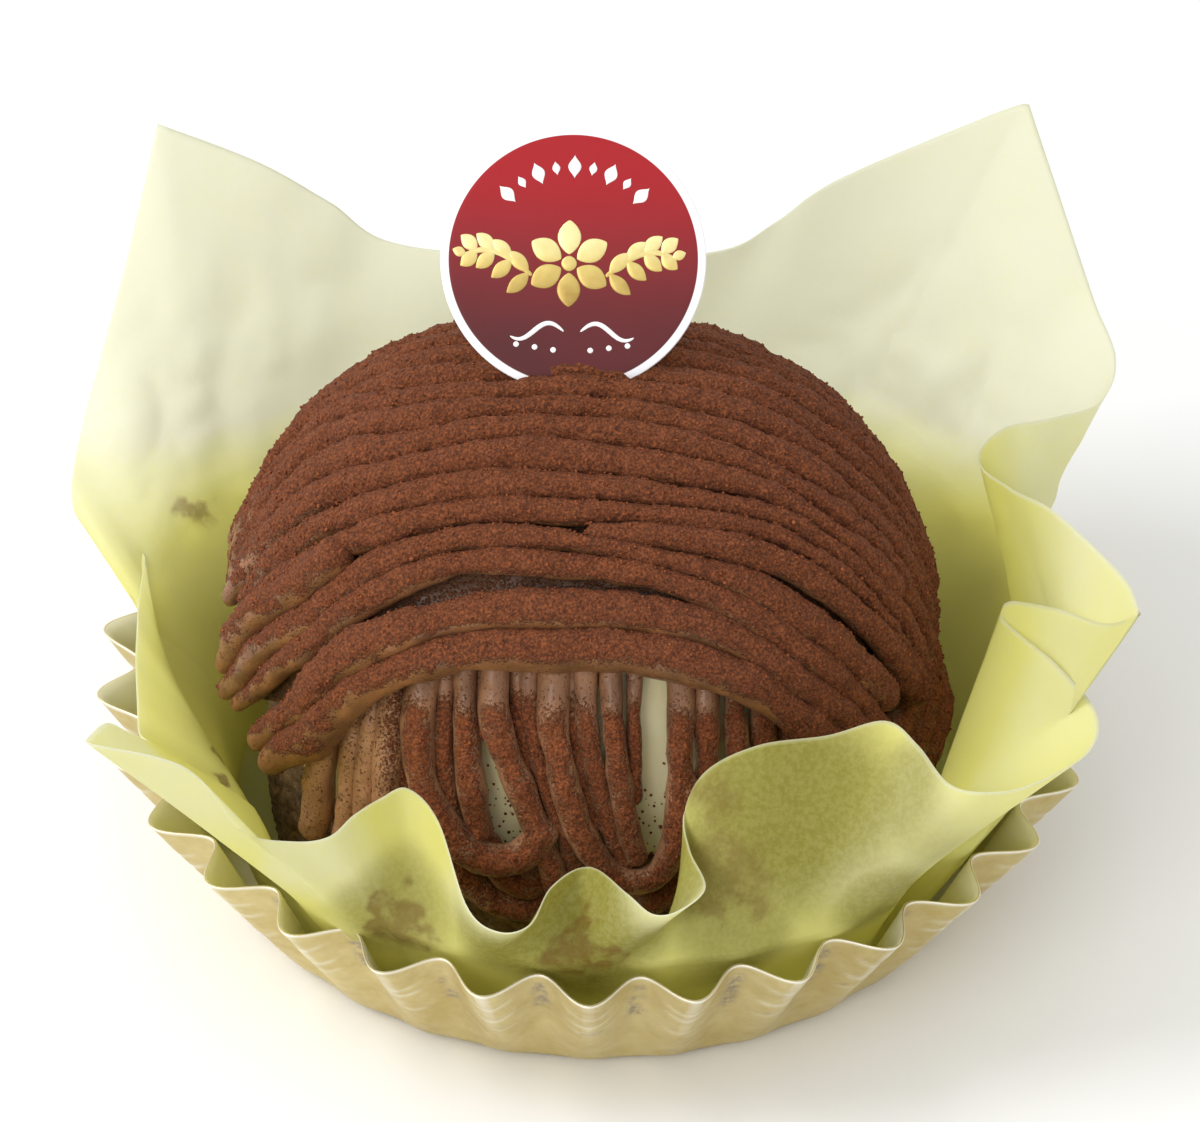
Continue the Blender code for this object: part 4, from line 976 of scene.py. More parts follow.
def add_strand(shell, line, radius, seed, cocoa_rule, widths=None, lift=0.0, raised=0.0, taper=0.0):
    """Adds one piped strand. Its ring points are the line plus the height times the cosine of the turn
    outwards and the half width times its sine sideways. The line wanders a little, the radius swells and
    thins, soft lumps and fine grains of cocoa raise the surface. widths are the half widths towards the
    next and the previous strand at the points of the line, lift raises the start off the dome and raised
    the whole of it, and taper is the share of the radius lost at the start."""
    length = line_length(line)
    walked = tube_rows(length, radius)
    from_end = np.minimum(walked, length - walked)
    centre = along_line(line, walked)
    tangent = unit(np.gradient(centre, axis=0))
    outward = dome_outward(centre)
    outward = unit(outward - tangent * (outward * tangent).sum(-1, keepdims=True))
    side = np.cross(tangent, outward)
    walk = np.stack([walked, np.full_like(walked, STRAND_NOISE_APART * seed), np.zeros_like(walked)], -1)
    calm = ramp(from_end, 0.0, STRAND_CALM_END)
    sway = calm * (layered_noise(centre, STRAND_SWAY) + layered_noise(walk, STRAND_WANDER))
    climb = calm * layered_noise(walk, STRAND_CLIMB) + raised + lift * ramp(walked, STRAND_START, 0.0)
    centre = centre + side * sway[:, None] + outward * climb[:, None]
    thinned = 1.0 - taper * ramp(walked, STRAND_START, 0.5)
    reach = radius * (1.0 + layered_noise(walk, STRAND_SWELLS)) * cap_share(from_end, radius) * thinned
    turns = ring_turns()
    stretch = np.ones((len(walked), len(turns)))
    if widths is not None:
        loose = ramp(from_end, 3.0, 11.0)
        for sign, width in zip((-1.0, 1.0), widths):
            share = np.interp(walked, walked_so_far(line), width) / radius
            share = 1.0 + (np.clip(share, STRAND_NARROWEST, STRAND_WIDEST) - 1.0) * loose
            stretch = np.where(sign * np.sin(turns)[None, :] > 0.0, share[:, None], stretch)
    up = np.cos(turns)[None, :, None] * outward[:, None, :]
    across = (np.sin(turns)[None, :] * stretch)[..., None] * side[:, None, :]
    rings = centre[:, None, :] + (up + across) * reach[:, None, None]
    spoke = unit(up + across / np.maximum(stretch, 0.1)[..., None] ** 2)
    facing = unit(spoke + tangent[:, None, :] * (np.gradient(reach, walked) * -0.6)[:, None, None])
    cocoa = cocoa_rule(rings, facing, outward[:, None, :])
    relief = layered_noise(rings, STRAND_LUMPS) + layered_noise(rings, COCOA_RELIEF) * ramp(cocoa, 0.25, 0.8)
    relief = relief * np.where(np.cos(turns)[None, :] > STRAND_HIDDEN_FROM, 1.0, STRAND_HIDDEN_RELIEF)
    relief = relief * np.clip(reach / radius, 0.15, 1.0)[:, None]
    rings = rings + spoke * relief[..., None]
    tip = 0.01 * radius
    shell.add_rings(rings, centre[0] - tangent[0] * tip, centre[-1] + tangent[-1] * tip, cocoa=cocoa)
    return rings[:, :STRAND_OUTER], facing[:, :STRAND_OUTER], cocoa[:, :STRAND_OUTER]


def upper_cocoa(rings, facing, outward):
    """Cocoa sifted from above: on faces that look up or out, less where the dome itself is steep, and patchy
    there. The right end has more, partly as the cake has it and partly as painted shade of the side away from
    the light."""
    low = 0.42 * ramp(outward[..., 2], 0.74, 0.64) - 0.62
    sparse = 0.16 + 0.20 * ramp(outward[..., 2], 0.62, 0.30)
    # more cocoa to the right: partly painted shade of that side
    right = 0.45 * ramp(rings[..., 0], 5.0, 24.0)
    return ramp(facing[..., 2] + sparse * layered_noise(rings, UPPER_PATCHES) + right - low, 0.0, 0.6)


def lower_cocoa(rings, facing, outward):
    """Cocoa on the lower strands: none under the overhang and little at the left, then on the faces that
    look out of the cake."""
    below = COCOA_START_Z + layered_noise(rings, COCOA_START_WANDER) - rings[..., 2]
    right = ramp(rings[..., 0], COCOA_START_X - 2.5, COCOA_START_X + 1.5)
    open_air = ramp(below, -1.2, 1.6) * (COCOA_AT_LEFT + (1.0 - COCOA_AT_LEFT) * right)
    out = 0.75 * (facing * outward).sum(-1) + 0.4 * facing[..., 2]
    return ramp(out + layered_noise(rings, LOWER_PATCHES), 0.20, 1.00) * open_air


def upper_line(places):
    """Line of one upper strand over the dome: y follows a spline through its places at the stations and
    beyond them shrinks as the dome's section to a power, and z lies on the dome."""
    x = dome_stations(DOME_HALF_X - UPPER_DEPTH, 1.0, UPPER_LINE_POINTS)
    last_station = UPPER_FIRST_STATION + UPPER_STATION_STEP * (len(places) - 1)
    held = np.clip(x, UPPER_FIRST_STATION, last_station)
    y = spline_at(places, (held - UPPER_FIRST_STATION) / UPPER_STATION_STEP)
    power = np.where(x < DOME_CENTRE_X, UPPER_LEFT_POWER, UPPER_RIGHT_POWER)
    section = dome_section(x, UPPER_DEPTH)
    y = y * (section / dome_section(held, UPPER_DEPTH)) ** power
    inside = section ** 2 - (y / (DOME_HALF_Y - UPPER_DEPTH)) ** 2
    z = DOME_BASE_Z + (DOME_RISE - UPPER_DEPTH) * np.sqrt(np.maximum(inside, 0.0))
    return np.stack([x, y, z], -1)


def room_beside(lines, present, number):
    """Distances from one strand's line to the nearest strand after it and before it, averaged along it."""
    away = np.where(present, np.linalg.norm(lines - lines[number], axis=-1), ROOM_MOST)
    sides = []
    for others in (away[number + 1:], away[:number]):
        nearest = others.min(axis=0) if len(others) else np.full(lines.shape[1], ROOM_MOST)
        padded = np.pad(nearest, ROOM_WINDOW // 2, mode="edge")
        sides.append(np.convolve(padded, np.full(ROOM_WINDOW, 1.0 / ROOM_WINDOW), mode="valid"))
    return sides


def make_upper_strands(finish, samples):
    """Top layer of strands, a few to a piece. A strand is half as wide to either side as the distance to the
    strand beside it, and a little more, but no wider than its own radius lets it be."""
    lines = np.array([upper_line(strand[3]) for strand in UPPER_STRANDS])
    stops = [UPPER_STOPS.get(number, UPPER_WHOLE) for number in range(len(UPPER_STRANDS))]
    present = np.ones(lines.shape[:2], dtype=bool)
    for number, (_, left_z, right_z, _) in enumerate(UPPER_STRANDS):
        x, _, z = lines[number].T
        present[number] = z >= np.where(x < DOME_CENTRE_X, left_z, right_z)
        present[number] &= (x > stops[number][0]) & (x < stops[number][1])
    for first in range(0, len(UPPER_STRANDS), UPPER_STRANDS_A_PIECE):
        shell = Shell()
        for number in range(first, min(first + UPPER_STRANDS_A_PIECE, len(UPPER_STRANDS))):
            kept = present[number]
            widths = [0.5 * STRAND_OVERLAP * room[kept] for room in room_beside(lines, present, number)]
            lift = UPPER_LIFT[number % len(UPPER_LIFT)]
            samples.append(add_strand(shell, lines[number][kept], UPPER_STRANDS[number][0], number,
                                      upper_cocoa, widths, lift, stops[number][2], UPPER_TAPER))
        name = "top_strands_%d" % (first // UPPER_STRANDS_A_PIECE + 1)
        add_shell(name, shell, finish, "upper_strands")


def draped_line(points, stand_out):
    """Line of a lower strand through points x and z: y lies on the lower strands' dome, flares out towards
    the foot, and keeps its place below the base."""
    x, z = spline_at(points, np.linspace(0.0, len(points) - 1.0, 40 * len(points))).T
    section = dome_section(x, LOWER_DEPTH)
    share = np.clip((z - DOME_BASE_Z) / ((DOME_RISE - LOWER_DEPTH) * section), 0.0, 0.999)
    angle = np.degrees(np.arcsin(share))
    y = -(DOME_HALF_Y - LOWER_DEPTH) * section * np.sqrt(1.0 - share ** 2)
    y = y - LOWER_FLARE * (1.0 - ramp(angle, 0.0, LOWER_FLARE_ANGLE)) - stand_out
    line = np.stack([x, y, z], -1)
    return along_line(line, np.linspace(0.0, line_length(line), LOWER_LINE_POINTS))


def back_line(number):
    """Line of one strand that hangs down at the back."""
    top = BACK_TOP[0] + BACK_TOP[1] * number
    foot = BACK_FOOT[0] + BACK_FOOT[1] * number
    foot_z = BACK_FOOT_Z[0] + BACK_FOOT_Z[1] * (number % 3)
    points = ((top, BACK_TOP_Z), (0.5 * (top + foot), BACK_MIDDLE_Z), (foot, foot_z))
    return draped_line(points, 0.0) * [1.0, -1.0, 1.0]


def flank_line(height, front, back):
    """Line of a strand along the right flank, bending in and down towards both ends as its y squared."""
    y = np.linspace(front, back, 81)
    x = FLANK_X + FLANK_LEAN * (FLANK_STRANDS[-1][0] - height) - FLANK_BEND_IN * y * y
    return np.stack([x, y, height - FLANK_BEND_DOWN * y * y], -1)


def make_lower_strands(finish, tan, samples):
    """Layer below: hanging strands and loops in front, the left ones painted paler, and strands at the back
    and on the right flank, all in a paste and cocoa painted lighter than on top: painted light."""
    front = [(draped_line(points, stand_out), radius) for radius, stand_out, points in FRONT_STRANDS]
    back = [(back_line(number), BACK_RADIUS) for number in range(BACK_COUNT)]
    back += [(flank_line(*strand), FLANK_RADIUS) for strand in FLANK_STRANDS]
    groups = (
        # left strands in a paste painted paler: painted light
        ("left_strands", front[:PALE_STRANDS], tan),
        ("middle_strands", front[PALE_STRANDS:MIDDLE_STRANDS], finish),
        ("front_loops", front[MIDDLE_STRANDS:], finish),
        ("back_strands", back, finish),
    )
    for name, strands, look in groups:
        shell = Shell()
        for number, (line, radius) in enumerate(strands):
            samples.append(add_strand(shell, line, radius, LOWER_SEED + number, lower_cocoa))
        add_shell(name, shell, look, "lower_strands")


def make_paste_bed(finish):
    """Lumpy bed that closes the view between the upper strands: a shell on the dome between two angles,
    outer side and inner side in one ring. It reaches further down towards its two ends, which are hollow."""
    x = dome_stations(BED_HALF_X, 0.99, BED_ROWS)[:, None]
    low = BED_ANGLE_DEG - BED_END_DROP_DEG * ramp(np.abs(x - DOME_CENTRE_X), *BED_END_X)
    angle = low + (180.0 - 2.0 * low) * np.linspace(0.0, 1.0, BED_COLUMNS)[None, :]
    outer = dome_point(x, angle, BED_DEPTH)
    outer = outer + dome_outward(outer) * (BED_RISE + layered_noise(outer, BED_LUMPS))[..., None]
    inner = dome_point(x, angle, BED_DEPTH + BED_THICKNESS)
    rings = np.concatenate([outer, inner[:, ::-1]], axis=1)[::-1]
    thin = 0.30 + 0.20 * soft_noise(rings, 2.0, 43)
    inward = np.array([BED_HOLLOW, 0.0, 0.0])
    shell = Shell()
    shell.add_rings(rings, rings[0].mean(0) - inward, rings[-1].mean(0) + inward, cocoa=thin)
    add_shell("paste_bed", shell, finish, "lower_strands")


def make_cream(finish, samples):
    """Dome of whipped cream: half rings over the dome from front to back, closed along a flat floor,
    with soft swells. Crumbs lie on its front, most of all low down."""
    x = dome_stations(DOME_HALF_X - CREAM_DEPTH, 0.96, CREAM_ROWS)[:, None]
    angle = np.linspace(0.0, 180.0, CREAM_COLUMNS)[None, :]
    top = dome_point(x, angle, CREAM_DEPTH)
    swell = layered_noise(top, CREAM_SWELLS) * np.sin(np.radians(angle))
    top = top + dome_outward(top) * swell[..., None]
    top[..., 2] = np.maximum(top[..., 2], CREAM_FLOOR_Z)
    spots = spots_between(top, 9)
    front = ramp(spots[..., 1], -20.0, -24.0) * (1.2 + 3.6 * ramp(spots[..., 2], 31.0, 21.0) ** 2)
    samples.append((spots, dome_outward(spots), front))
    share = np.linspace(0.0, 1.0, 12)[None, 1:-1, None]
    floor = top[:, -1:] + (top[:, :1] - top[:, -1:]) * share
    rings = np.concatenate([top, floor], axis=1)[::-1]
    shell = Shell()
    shell.add_rings(rings, rings[0].mean(0), rings[-1].mean(0))
    add_shell("cream_dome", shell, finish, "whipped_cream")


def make_sponge(finish):
    """Oval disc of sponge: a profile from the floor's centre round the side to the top's centre, turned round
    an oval and roughened by crumbs and pores."""
    turn = full_turn(SPONGE_COLUMNS)
    flat = np.linspace(0.1, 0.97, SPONGE_FLAT_ROWS)
    share = np.concatenate([flat, np.ones(SPONGE_SIDE_ROWS), flat[::-1]])[:, None]
    up = np.linspace(0.0, 1.0, SPONGE_SIDE_ROWS + 2)[1:-1]
    up = np.concatenate([np.zeros(SPONGE_FLAT_ROWS), up, np.ones(SPONGE_FLAT_ROWS)])[:, None]
    x = DOME_CENTRE_X + SPONGE_HALF_X * share * np.cos(turn)
    y = SPONGE_HALF_Y * share * np.sin(turn)
    z = SPONGE_FLOOR_Z + (SPONGE_TOP_Z - SPONGE_FLOOR_Z) * up
    rings = np.stack(np.broadcast_arrays(x, y, z), -1)
    pores = 0.5 * ramp(soft_noise(rings, 1.1, 63), 0.45, 0.75)
    rough = (layered_noise(rings, SPONGE_CRUMBS) - pores) * (share > 0.99)
    rings = rings + round_points(1.0, turn, 0.0) * rough[..., None]
    shell = Shell()
    shell.add_rings(rings, (DOME_CENTRE_X, 0.0, SPONGE_FLOOR_Z), (DOME_CENTRE_X, 0.0, SPONGE_TOP_Z))
    add_shell("sponge_disc", shell, finish, "sponge_base")


def twenty_sides():
    """Corners at length 1 and faces, turned outwards, of a regular form with twenty sides."""
    golden = 0.5 * (1.0 + math.sqrt(5.0))
    corners = []
    for a, b in ((-1, golden), (1, golden), (-1, -golden), (1, -golden)):
        corners += [(a, b, 0.0), (0.0, a, b), (b, 0.0, a)]
    corners = unit(np.array(corners))
    span = np.linalg.norm(corners[:, None] - corners[None], axis=-1)
    edge = span[span > 0.1].min() * 1.05
    faces = []
    for i, j, k in itertools.combinations(range(len(corners)), 3):
        if max(span[i, j], span[j, k], span[i, k]) < edge:
            turn = np.dot(np.cross(corners[j] - corners[i], corners[k] - corners[i]), corners[i])
            faces.append((i, j, k) if turn > 0 else (i, k, j))
    return corners, np.array(faces)


def make_crumbs(finish, samples):
    """Loose cocoa crumbs on the strands and the cream: small lumps with twenty sides, each corner at its own
    distance. Some are half as large again."""
    rng = np.random.default_rng(7)
    corners, faces = twenty_sides()
    places = np.concatenate([rings.reshape(-1, 3) for rings, _, _ in samples])
    normals = np.concatenate([facing.reshape(-1, 3) for _, facing, _ in samples])
    chance = np.concatenate([cocoa.ravel() for _, _, cocoa in samples]) ** 2
    chosen = rng.choice(len(places), CRUMB_COUNT, replace=False, p=chance / chance.sum())
    size = rng.uniform(*CRUMB_SIZE, CRUMB_COUNT) * (1.0 + 0.5 * (rng.random(CRUMB_COUNT) > 0.93))
    lumps = corners[None] * rng.uniform(0.7, 1.3, (CRUMB_COUNT, 12, 1)) * size[:, None, None]
    points = places[chosen][:, None] + normals[chosen][:, None] * (0.25 * size)[:, None, None] + lumps
    all_faces = faces[None] + 12 * np.arange(CRUMB_COUNT)[:, None, None]
    add_piece("cocoa_crumbs", points.reshape(-1, 3), [all_faces.reshape(-1, 3)], finish, "upper_strands")


# Gold cup

def make_cup(finish):
    """Closed foil shell. Its radius is the foot's plus the rise towards the rim, plus a cosine wave of
    thirty flutes that grows with height. The outer side runs from the foot's centre up to the rim, and the
    inner side back down. Scalloped creases sink a little under the rim of each outward flute."""
    turn = full_turn(CUP_COLUMNS)
    angle = turn + math.radians(CUP_FIRST_TIP_DEG)
    wave = np.cos(CUP_FLUTES * turn)[None, :]
    flute = np.floor(CUP_FLUTES * turn / (2.0 * math.pi) + 0.5)[None, :]
    middle = 0.5 * (CUP_TIP_RADIUS + CUP_FOLD_RADIUS)
    swing = 0.5 * (CUP_TIP_RADIUS - CUP_FOLD_RADIUS)

    def wall(height, inset=0.0):
        """Radius of the wall at a height, less an inset."""
        up = np.maximum(height, 0.0) / CUP_HEIGHT
        cone = CUP_FOOT_RADIUS + (middle - CUP_FOOT_RADIUS) * up
        return cone + swing * wave * up ** CUP_WAVE_POWER - inset

    flat = CUP_FOOT_RADIUS - CUP_EDGE_ROUND
    foot = np.array([[0.15], [0.5], [0.8], [1.0]]) * flat
    bend = np.radians([[22.0], [45.0], [68.0]])
    edge = round_points(flat + CUP_EDGE_ROUND * np.sin(bend), angle, CUP_EDGE_ROUND * (1.0 - np.cos(bend)))
    height = np.linspace(CUP_EDGE_ROUND, CUP_HEIGHT, CUP_ROWS)[:, None]
    drop = CUP_HEIGHT - height
    place = round_points(wall(height), angle, height)
    lean = 0.8 * soft_noise(place, 5.0, 71)
    outward = ramp(wave, -0.2, 0.6)
    creases = np.zeros(place.shape[:2])
    for below, deep in CUP_CREASES:
        arc = below - CUP_CREASE_SAG * (1.0 - wave) + lean + 0.5 * np.sin(2.3 * flute + below)
        creases -= deep * np.exp(-((drop - arc) / CUP_CREASE_WIDTH) ** 2) * outward
    dents = CUP_DENT * soft_noise(place, 3.2, 72) * ramp(drop, 0.0, 3.0) * ramp(height, 1.0, 5.0)
    outer = round_points(wall(height) + creases + dents, angle, height)
    lip = round_points(wall(height[-1:], 0.5 * CUP_WALL), angle, CUP_HEIGHT + CUP_LIP)
    down = np.linspace(CUP_HEIGHT, CUP_WALL + 0.6, 16)[:, None]
    inner = round_points(wall(down, CUP_WALL), angle, down)
    floor = np.array([[1.0], [0.7], [0.4], [0.1]]) * (flat - 0.4)
    rings = np.concatenate([round_points(foot, angle, 0.0), edge, outer, lip, inner,
                            round_points(floor, angle, CUP_WALL)])
    first_wall = len(foot) + len(bend)
    shown = slice(first_wall, first_wall + CUP_ROWS)
    ridge, smudge, inside = np.zeros((3, *rings.shape[:2]))
    crest = ramp(wave, 0.90, 1.0) * ramp(drop, 12.0, 3.0) * (0.5 + 0.5 * soft_noise(place, 2.2, 73))
    sunk = np.abs(creases) / max(deep for _, deep in CUP_CREASES)
    ridge[shown] = np.clip(0.75 * crest + 0.45 * sunk + 0.9 * ramp(drop, 0.45, 0.1), 0.0, 1.0)
    fold = ramp(-wave, 0.75, 1.0) * ramp(drop, 0.8, 2.6) * ramp(drop, 9.5, 6.5)
    speck = ramp(soft_noise(place, 1.5, 74) + 0.35, 0.0, 0.7)
    from_crack = drop - CUP_CRACK_DROP - 1.3 * soft_noise(place, 3.0, 75)
    cracks = np.exp(-(from_crack / CUP_CRACK_WIDTH) ** 2) * outward
    cracks = cracks * ramp(soft_noise(place, 4.0, 76), 0.25, 0.6)
    smudge[shown] = np.clip(1.15 * fold * speck + 0.9 * cracks, 0.0, 1.0)
    inside[shown.stop + 1:] = 1.0
    shell = Shell()
    shell.add_rings(rings, (0.0, 0.0, 0.0), (0.0, 0.0, CUP_WALL), ridge=ridge, smudge=smudge, inside=inside)
    add_shell("pleated_cup", shell, finish, "gold_cup")


# Paper sheet

def cornered_spline(values, corners, count):
    """Catmull-Rom spline through a closed run of rows, read at equal steps of the run. At a corner the run
    turns sharply, because the row beyond it is put straight on from the two rows before it."""
    total = len(values)
    steps = np.arange(count) * total / count
    i = np.floor(steps).astype(int)
    t = (steps - i)[:, None]
    p0, p1, p2, p3 = (values[(i + k) % total] for k in (-1, 0, 1, 2))
    p0 = np.where(np.isin(i, corners)[:, None], 2 * p1 - p2, p0)
    p3 = np.where(np.isin((i + 1) % total, corners)[:, None], 2 * p2 - p1, p3)
    return catmull_rom(p0, p1, p2, p3, t)


def paper_stations():
    """Edge stations with the direction in which the flat sheet would meet them: the side's middle direction
    plus the arc tangent of 1 minus twice the share of the side walked."""
    ends = [side[1][0] for side in PAPER_SIDES]
    table = []
    for number, (middle_deg, stations) in enumerate(PAPER_SIDES):
        walked = walked_so_far(np.array([*stations, ends[(number + 1) % len(ends)]])[:, :3])
        angle = math.radians(middle_deg) + np.arctan(1.0 - 2.0 * walked[:-1] / walked[-1])
        table.append(np.column_stack([np.array(stations), angle]))
    return np.concatenate(table)


def folded_sheet():
    """Sheet before it is crumpled: straight rows from the floor's centre to the floor's edge, a quadratic
    curve up the cup's wall to the knee, and another from there to the sheet's edge. Where the edge is low,
    the knee drops, and at the front and the right the wall doesn't bow."""
    table = paper_stations()
    turns = table[:, 4]
    turns = turns[0] - np.cumsum(np.append(0.0, np.mod(-np.diff(turns), 2.0 * math.pi)))
    run = np.column_stack([table[:, :4], turns + full_turn(len(table))])
    corners = np.cumsum([0] + [len(side[1]) for side in PAPER_SIDES[:-1]])
    columns = cornered_spline(run, corners, PAPER_COLUMNS)
    spoke = round_points(1.0, columns[:, 4] - full_turn(PAPER_COLUMNS), 0.0)
    edge = columns[:, :3]
    floor = spoke * PAPER_FLOOR_RADIUS + PAPER_CENTRE
    knee = spoke * columns[:, 3:4] + [0.0, 0.0, PAPER_KNEE_Z]
    knee[:, 2] -= PAPER_KNEE_DROP * np.clip((PAPER_LOW_EDGE_Z - edge[:, 2]) / PAPER_LOW_EDGE_SPAN, 0.0, 1.0)
    bow = spoke * (PAPER_FLOOR_RADIUS + PAPER_BOW_OUT) + [0.0, 0.0, PAPER_BOW_Z]
    straight = np.maximum(ramp(edge[:, 1:2], *PAPER_STRAIGHT_Y), ramp(edge[:, :1], *PAPER_STRAIGHT_X))
    bow = bow + (0.5 * (floor + knee) - bow) * straight
    reach = PAPER_GUIDE_SHARE * np.linalg.norm(edge - knee, axis=1, keepdims=True)
    guide = knee + unit(unit(knee - floor) + PAPER_GUIDE_TO_EDGE * unit(edge - knee)) * reach
    shares = np.linspace(0.0, 1.0, PAPER_ROWS_FLOOR + 1)[1:]
    rows = [PAPER_CENTRE + (floor - PAPER_CENTRE) * t for t in shares]
    rows += [quadratic(floor, bow, knee, t) for t in np.linspace(0.0, 1.0, PAPER_ROWS_WALL + 1)[1:]]
    rows += [quadratic(knee, guide, edge, t) for t in np.linspace(0.0, PAPER_HEM_START, PAPER_ROWS_FLAP)[1:]]
    return np.array([*rows, edge])


def crumpled(sheet):
    """Sheet with faint waves and crumples above the cup, raised along its normals. Crumples are the sharp
    crests of one minus absolute noise."""
    across = np.roll(sheet, -2, axis=1) - np.roll(sheet, 2, axis=1)
    normal = unit(np.cross(np.gradient(sheet, axis=0), across))
    crest = 1.0 - np.abs(soft_noise(sheet, 7.0, 82)) * 2.2
    fine = 1.0 - np.abs(soft_noise(sheet, 3.4, 83)) * 2.0
    height = PAPER_WAVES * soft_noise(sheet, 9.0, 81)
    for *spot, spread, tall in PAPER_CRUMPLES:
        near = np.exp(-(np.linalg.norm(sheet - spot, axis=-1) / spread) ** 2)
        height += tall * near * (0.7 * crest + 0.3 * fine)
    above = ramp(sheet[..., 2], CUP_HEIGHT + 0.5, CUP_HEIGHT + 5.0)
    return sheet + normal * (height * above)[..., None]


def paper_stain(sheet):
    """Brown of the stains, darkest along their wandering outlines."""
    stain = np.zeros(sheet.shape[:2])
    wander = layered_noise(sheet, STAIN_WANDER)
    for *spot, spread, strength in PAPER_STAINS:
        away = np.linalg.norm(sheet - spot, axis=-1) + wander
        outline = np.exp(-((away - 0.80 * spread) / (0.12 * spread)) ** 2)
        stain = np.maximum(stain, strength * (0.65 * ramp(away, spread, 0.6 * spread) + 0.35 * outline))
    return stain


def paper_grease_and_shade(sheet):
    """Olive of the greasy spots and the painted shade, full up to half their reach. The last row stays pale: a
    painted highlight along the edge.
    """
    grease_and_shade = np.zeros(sheet.shape[:2])
    wander = layered_noise(sheet, GREASE_AND_SHADE_WANDER)
    for *spot, spread, strength in PAPER_GREASE_AND_SHADE:
        away = np.linalg.norm(sheet - spot, axis=-1) + wander
        grease_and_shade = np.maximum(grease_and_shade, strength * ramp(away, spread, 0.5 * spread))
    # last row kept pale: painted highlight along the sheet's edge
    grease_and_shade[-1] *= PAPER_HEM_HIGHLIGHT
    return grease_and_shade


def paper_tint_and_shade(sheet):
    """Yellow of the paper: a faint tint of its own, deepened by painted shade near the axis, low down, in
    front, in the hollow at the right and in the fold at the left, and paled at the back by painted light
    through the sheet. The last row stays pale: a painted highlight along the edge."""
    x, y, z = np.moveaxis(sheet, -1, 0)
    tint_and_shade = 0.12 + 0.75 * ramp(np.hypot(x, y), 47.5, 39.5) + 0.75 * ramp(z, 27.0, 18.0)
    tint_and_shade += 0.35 * ramp(y, 5.0, -30.0) - 0.45 * ramp(y, 20.0, 38.0)
    tint_and_shade += 0.22 * ramp(x, 22.0, 40.0) * ramp(y, 34.0, 20.0)
    # the fold at the left: painted shade below its crease
    fold = ramp(y, -15.2, -15.8) * ramp(x, -30.0, -33.0) * ramp(z, 36.0, 27.0)
    tint_and_shade = np.clip(np.clip(tint_and_shade, 0.0, 1.0) + 0.45 * fold, 0.0, 1.0)
    # last row kept pale: painted highlight along the sheet's edge
    tint_and_shade[-1] *= PAPER_HEM_HIGHLIGHT
    return tint_and_shade


def make_paper(finish):
    """Folded and crumpled square sheet, closed on its floor's centre, with a thickness to both sides."""
    sheet = crumpled(folded_sheet())
    points = np.concatenate([sheet.reshape(-1, 3), [PAPER_CENTRE]])
    j = np.arange(PAPER_COLUMNS)
    fan = np.stack([np.full(PAPER_COLUMNS, len(points) - 1), j, (j + 1) % PAPER_COLUMNS], -1)
    faces = [ring_quads(len(sheet), PAPER_COLUMNS)[:, ::-1], fan]
    values = {"stain": np.append(paper_stain(sheet), 0.0), "grease_and_shade": np.append(paper_grease_and_shade(sheet), 0.0),
              "tint_and_shade": np.append(paper_tint_and_shade(sheet), 1.0)}
    paper = add_piece("paper_sheet", points, faces, finish, "paper_liner", values)
    thickness = paper.modifiers.new("thickness", "SOLIDIFY")
    thickness.thickness = PAPER_THICKNESS * MM
    thickness.offset = 0.0


# Pick

def on_plate(points):
    """Plate coordinates in millimetres, x to the right, y up the leaning plate and z out of its front, to the
    shared frame."""
    lean = np.array(Matrix.Rotation(math.radians(90.0 - PICK_LEAN_DEG), 3, "X"))
    return points @ lean.T + np.array(PICK_CENTRE)


def pick_outline():
    """Outline of the plate and its stem, as radius over direction: the plate's circle, or the stem's sides
    and point where those lie further out."""
    angle = 2.0 * math.pi * (np.arange(PICK_COLUMNS) + 0.5) / PICK_COLUMNS - 0.5 * math.pi
    half = 0.5 * PICK_STEM_WIDTH
    tip = PICK_RADIUS + PICK_STEM_LENGTH
    shoulder = PICK_RADIUS + PICK_SHOULDER_SHARE * PICK_STEM_LENGTH
    down = np.abs(angle + 0.5 * math.pi)
    down = np.minimum(down, 2.0 * math.pi - down)
    side = half / np.maximum(np.sin(down), 1e-6)
    point = tip / (np.cos(down) + (tip - shoulder) / half * np.sin(down))
    stem = np.maximum(np.minimum(side, point), PICK_RADIUS)
    return angle, np.where(down < math.asin(half / PICK_RADIUS), stem, PICK_RADIUS)


def make_card(finish):
    """Plate and stem: the outline scaled from nothing to full on the front, rounded over the edge, and back
    to nothing behind."""
    angle, radius = pick_outline()
    half = 0.5 * PICK_THICKNESS
    face = np.array([[0.1], [0.4], [0.7], [0.9]]) * radius
    turn = np.radians([[0.0], [20.0], [45.0], [70.0], [90.0], [110.0], [135.0], [160.0], [180.0]])
    edge = round_points(radius - PICK_EDGE_ROUND * (1.0 - np.sin(turn)), angle, half * np.cos(turn))
    rings = np.concatenate([round_points(face, angle, half), edge, round_points(face[::-1], angle, -half)])
    shell = Shell()
    shell.add_rings(rings[::-1], (0.0, 0.0, -half), (0.0, 0.0, half))
    local = shell.points[0]
    behind = local[:, 2:] < 0.5 * half
    plane = local[:, :2] + PICK_BACK_SHIFT * behind
    add_piece("round_card", on_plate(local), shell.faces(), finish, "pick", plane=plane)


def heading(degrees):
    """Directions in the plate's plane."""
    turn = np.radians(degrees)
    return np.stack([np.cos(turn), np.sin(turn)], -1)


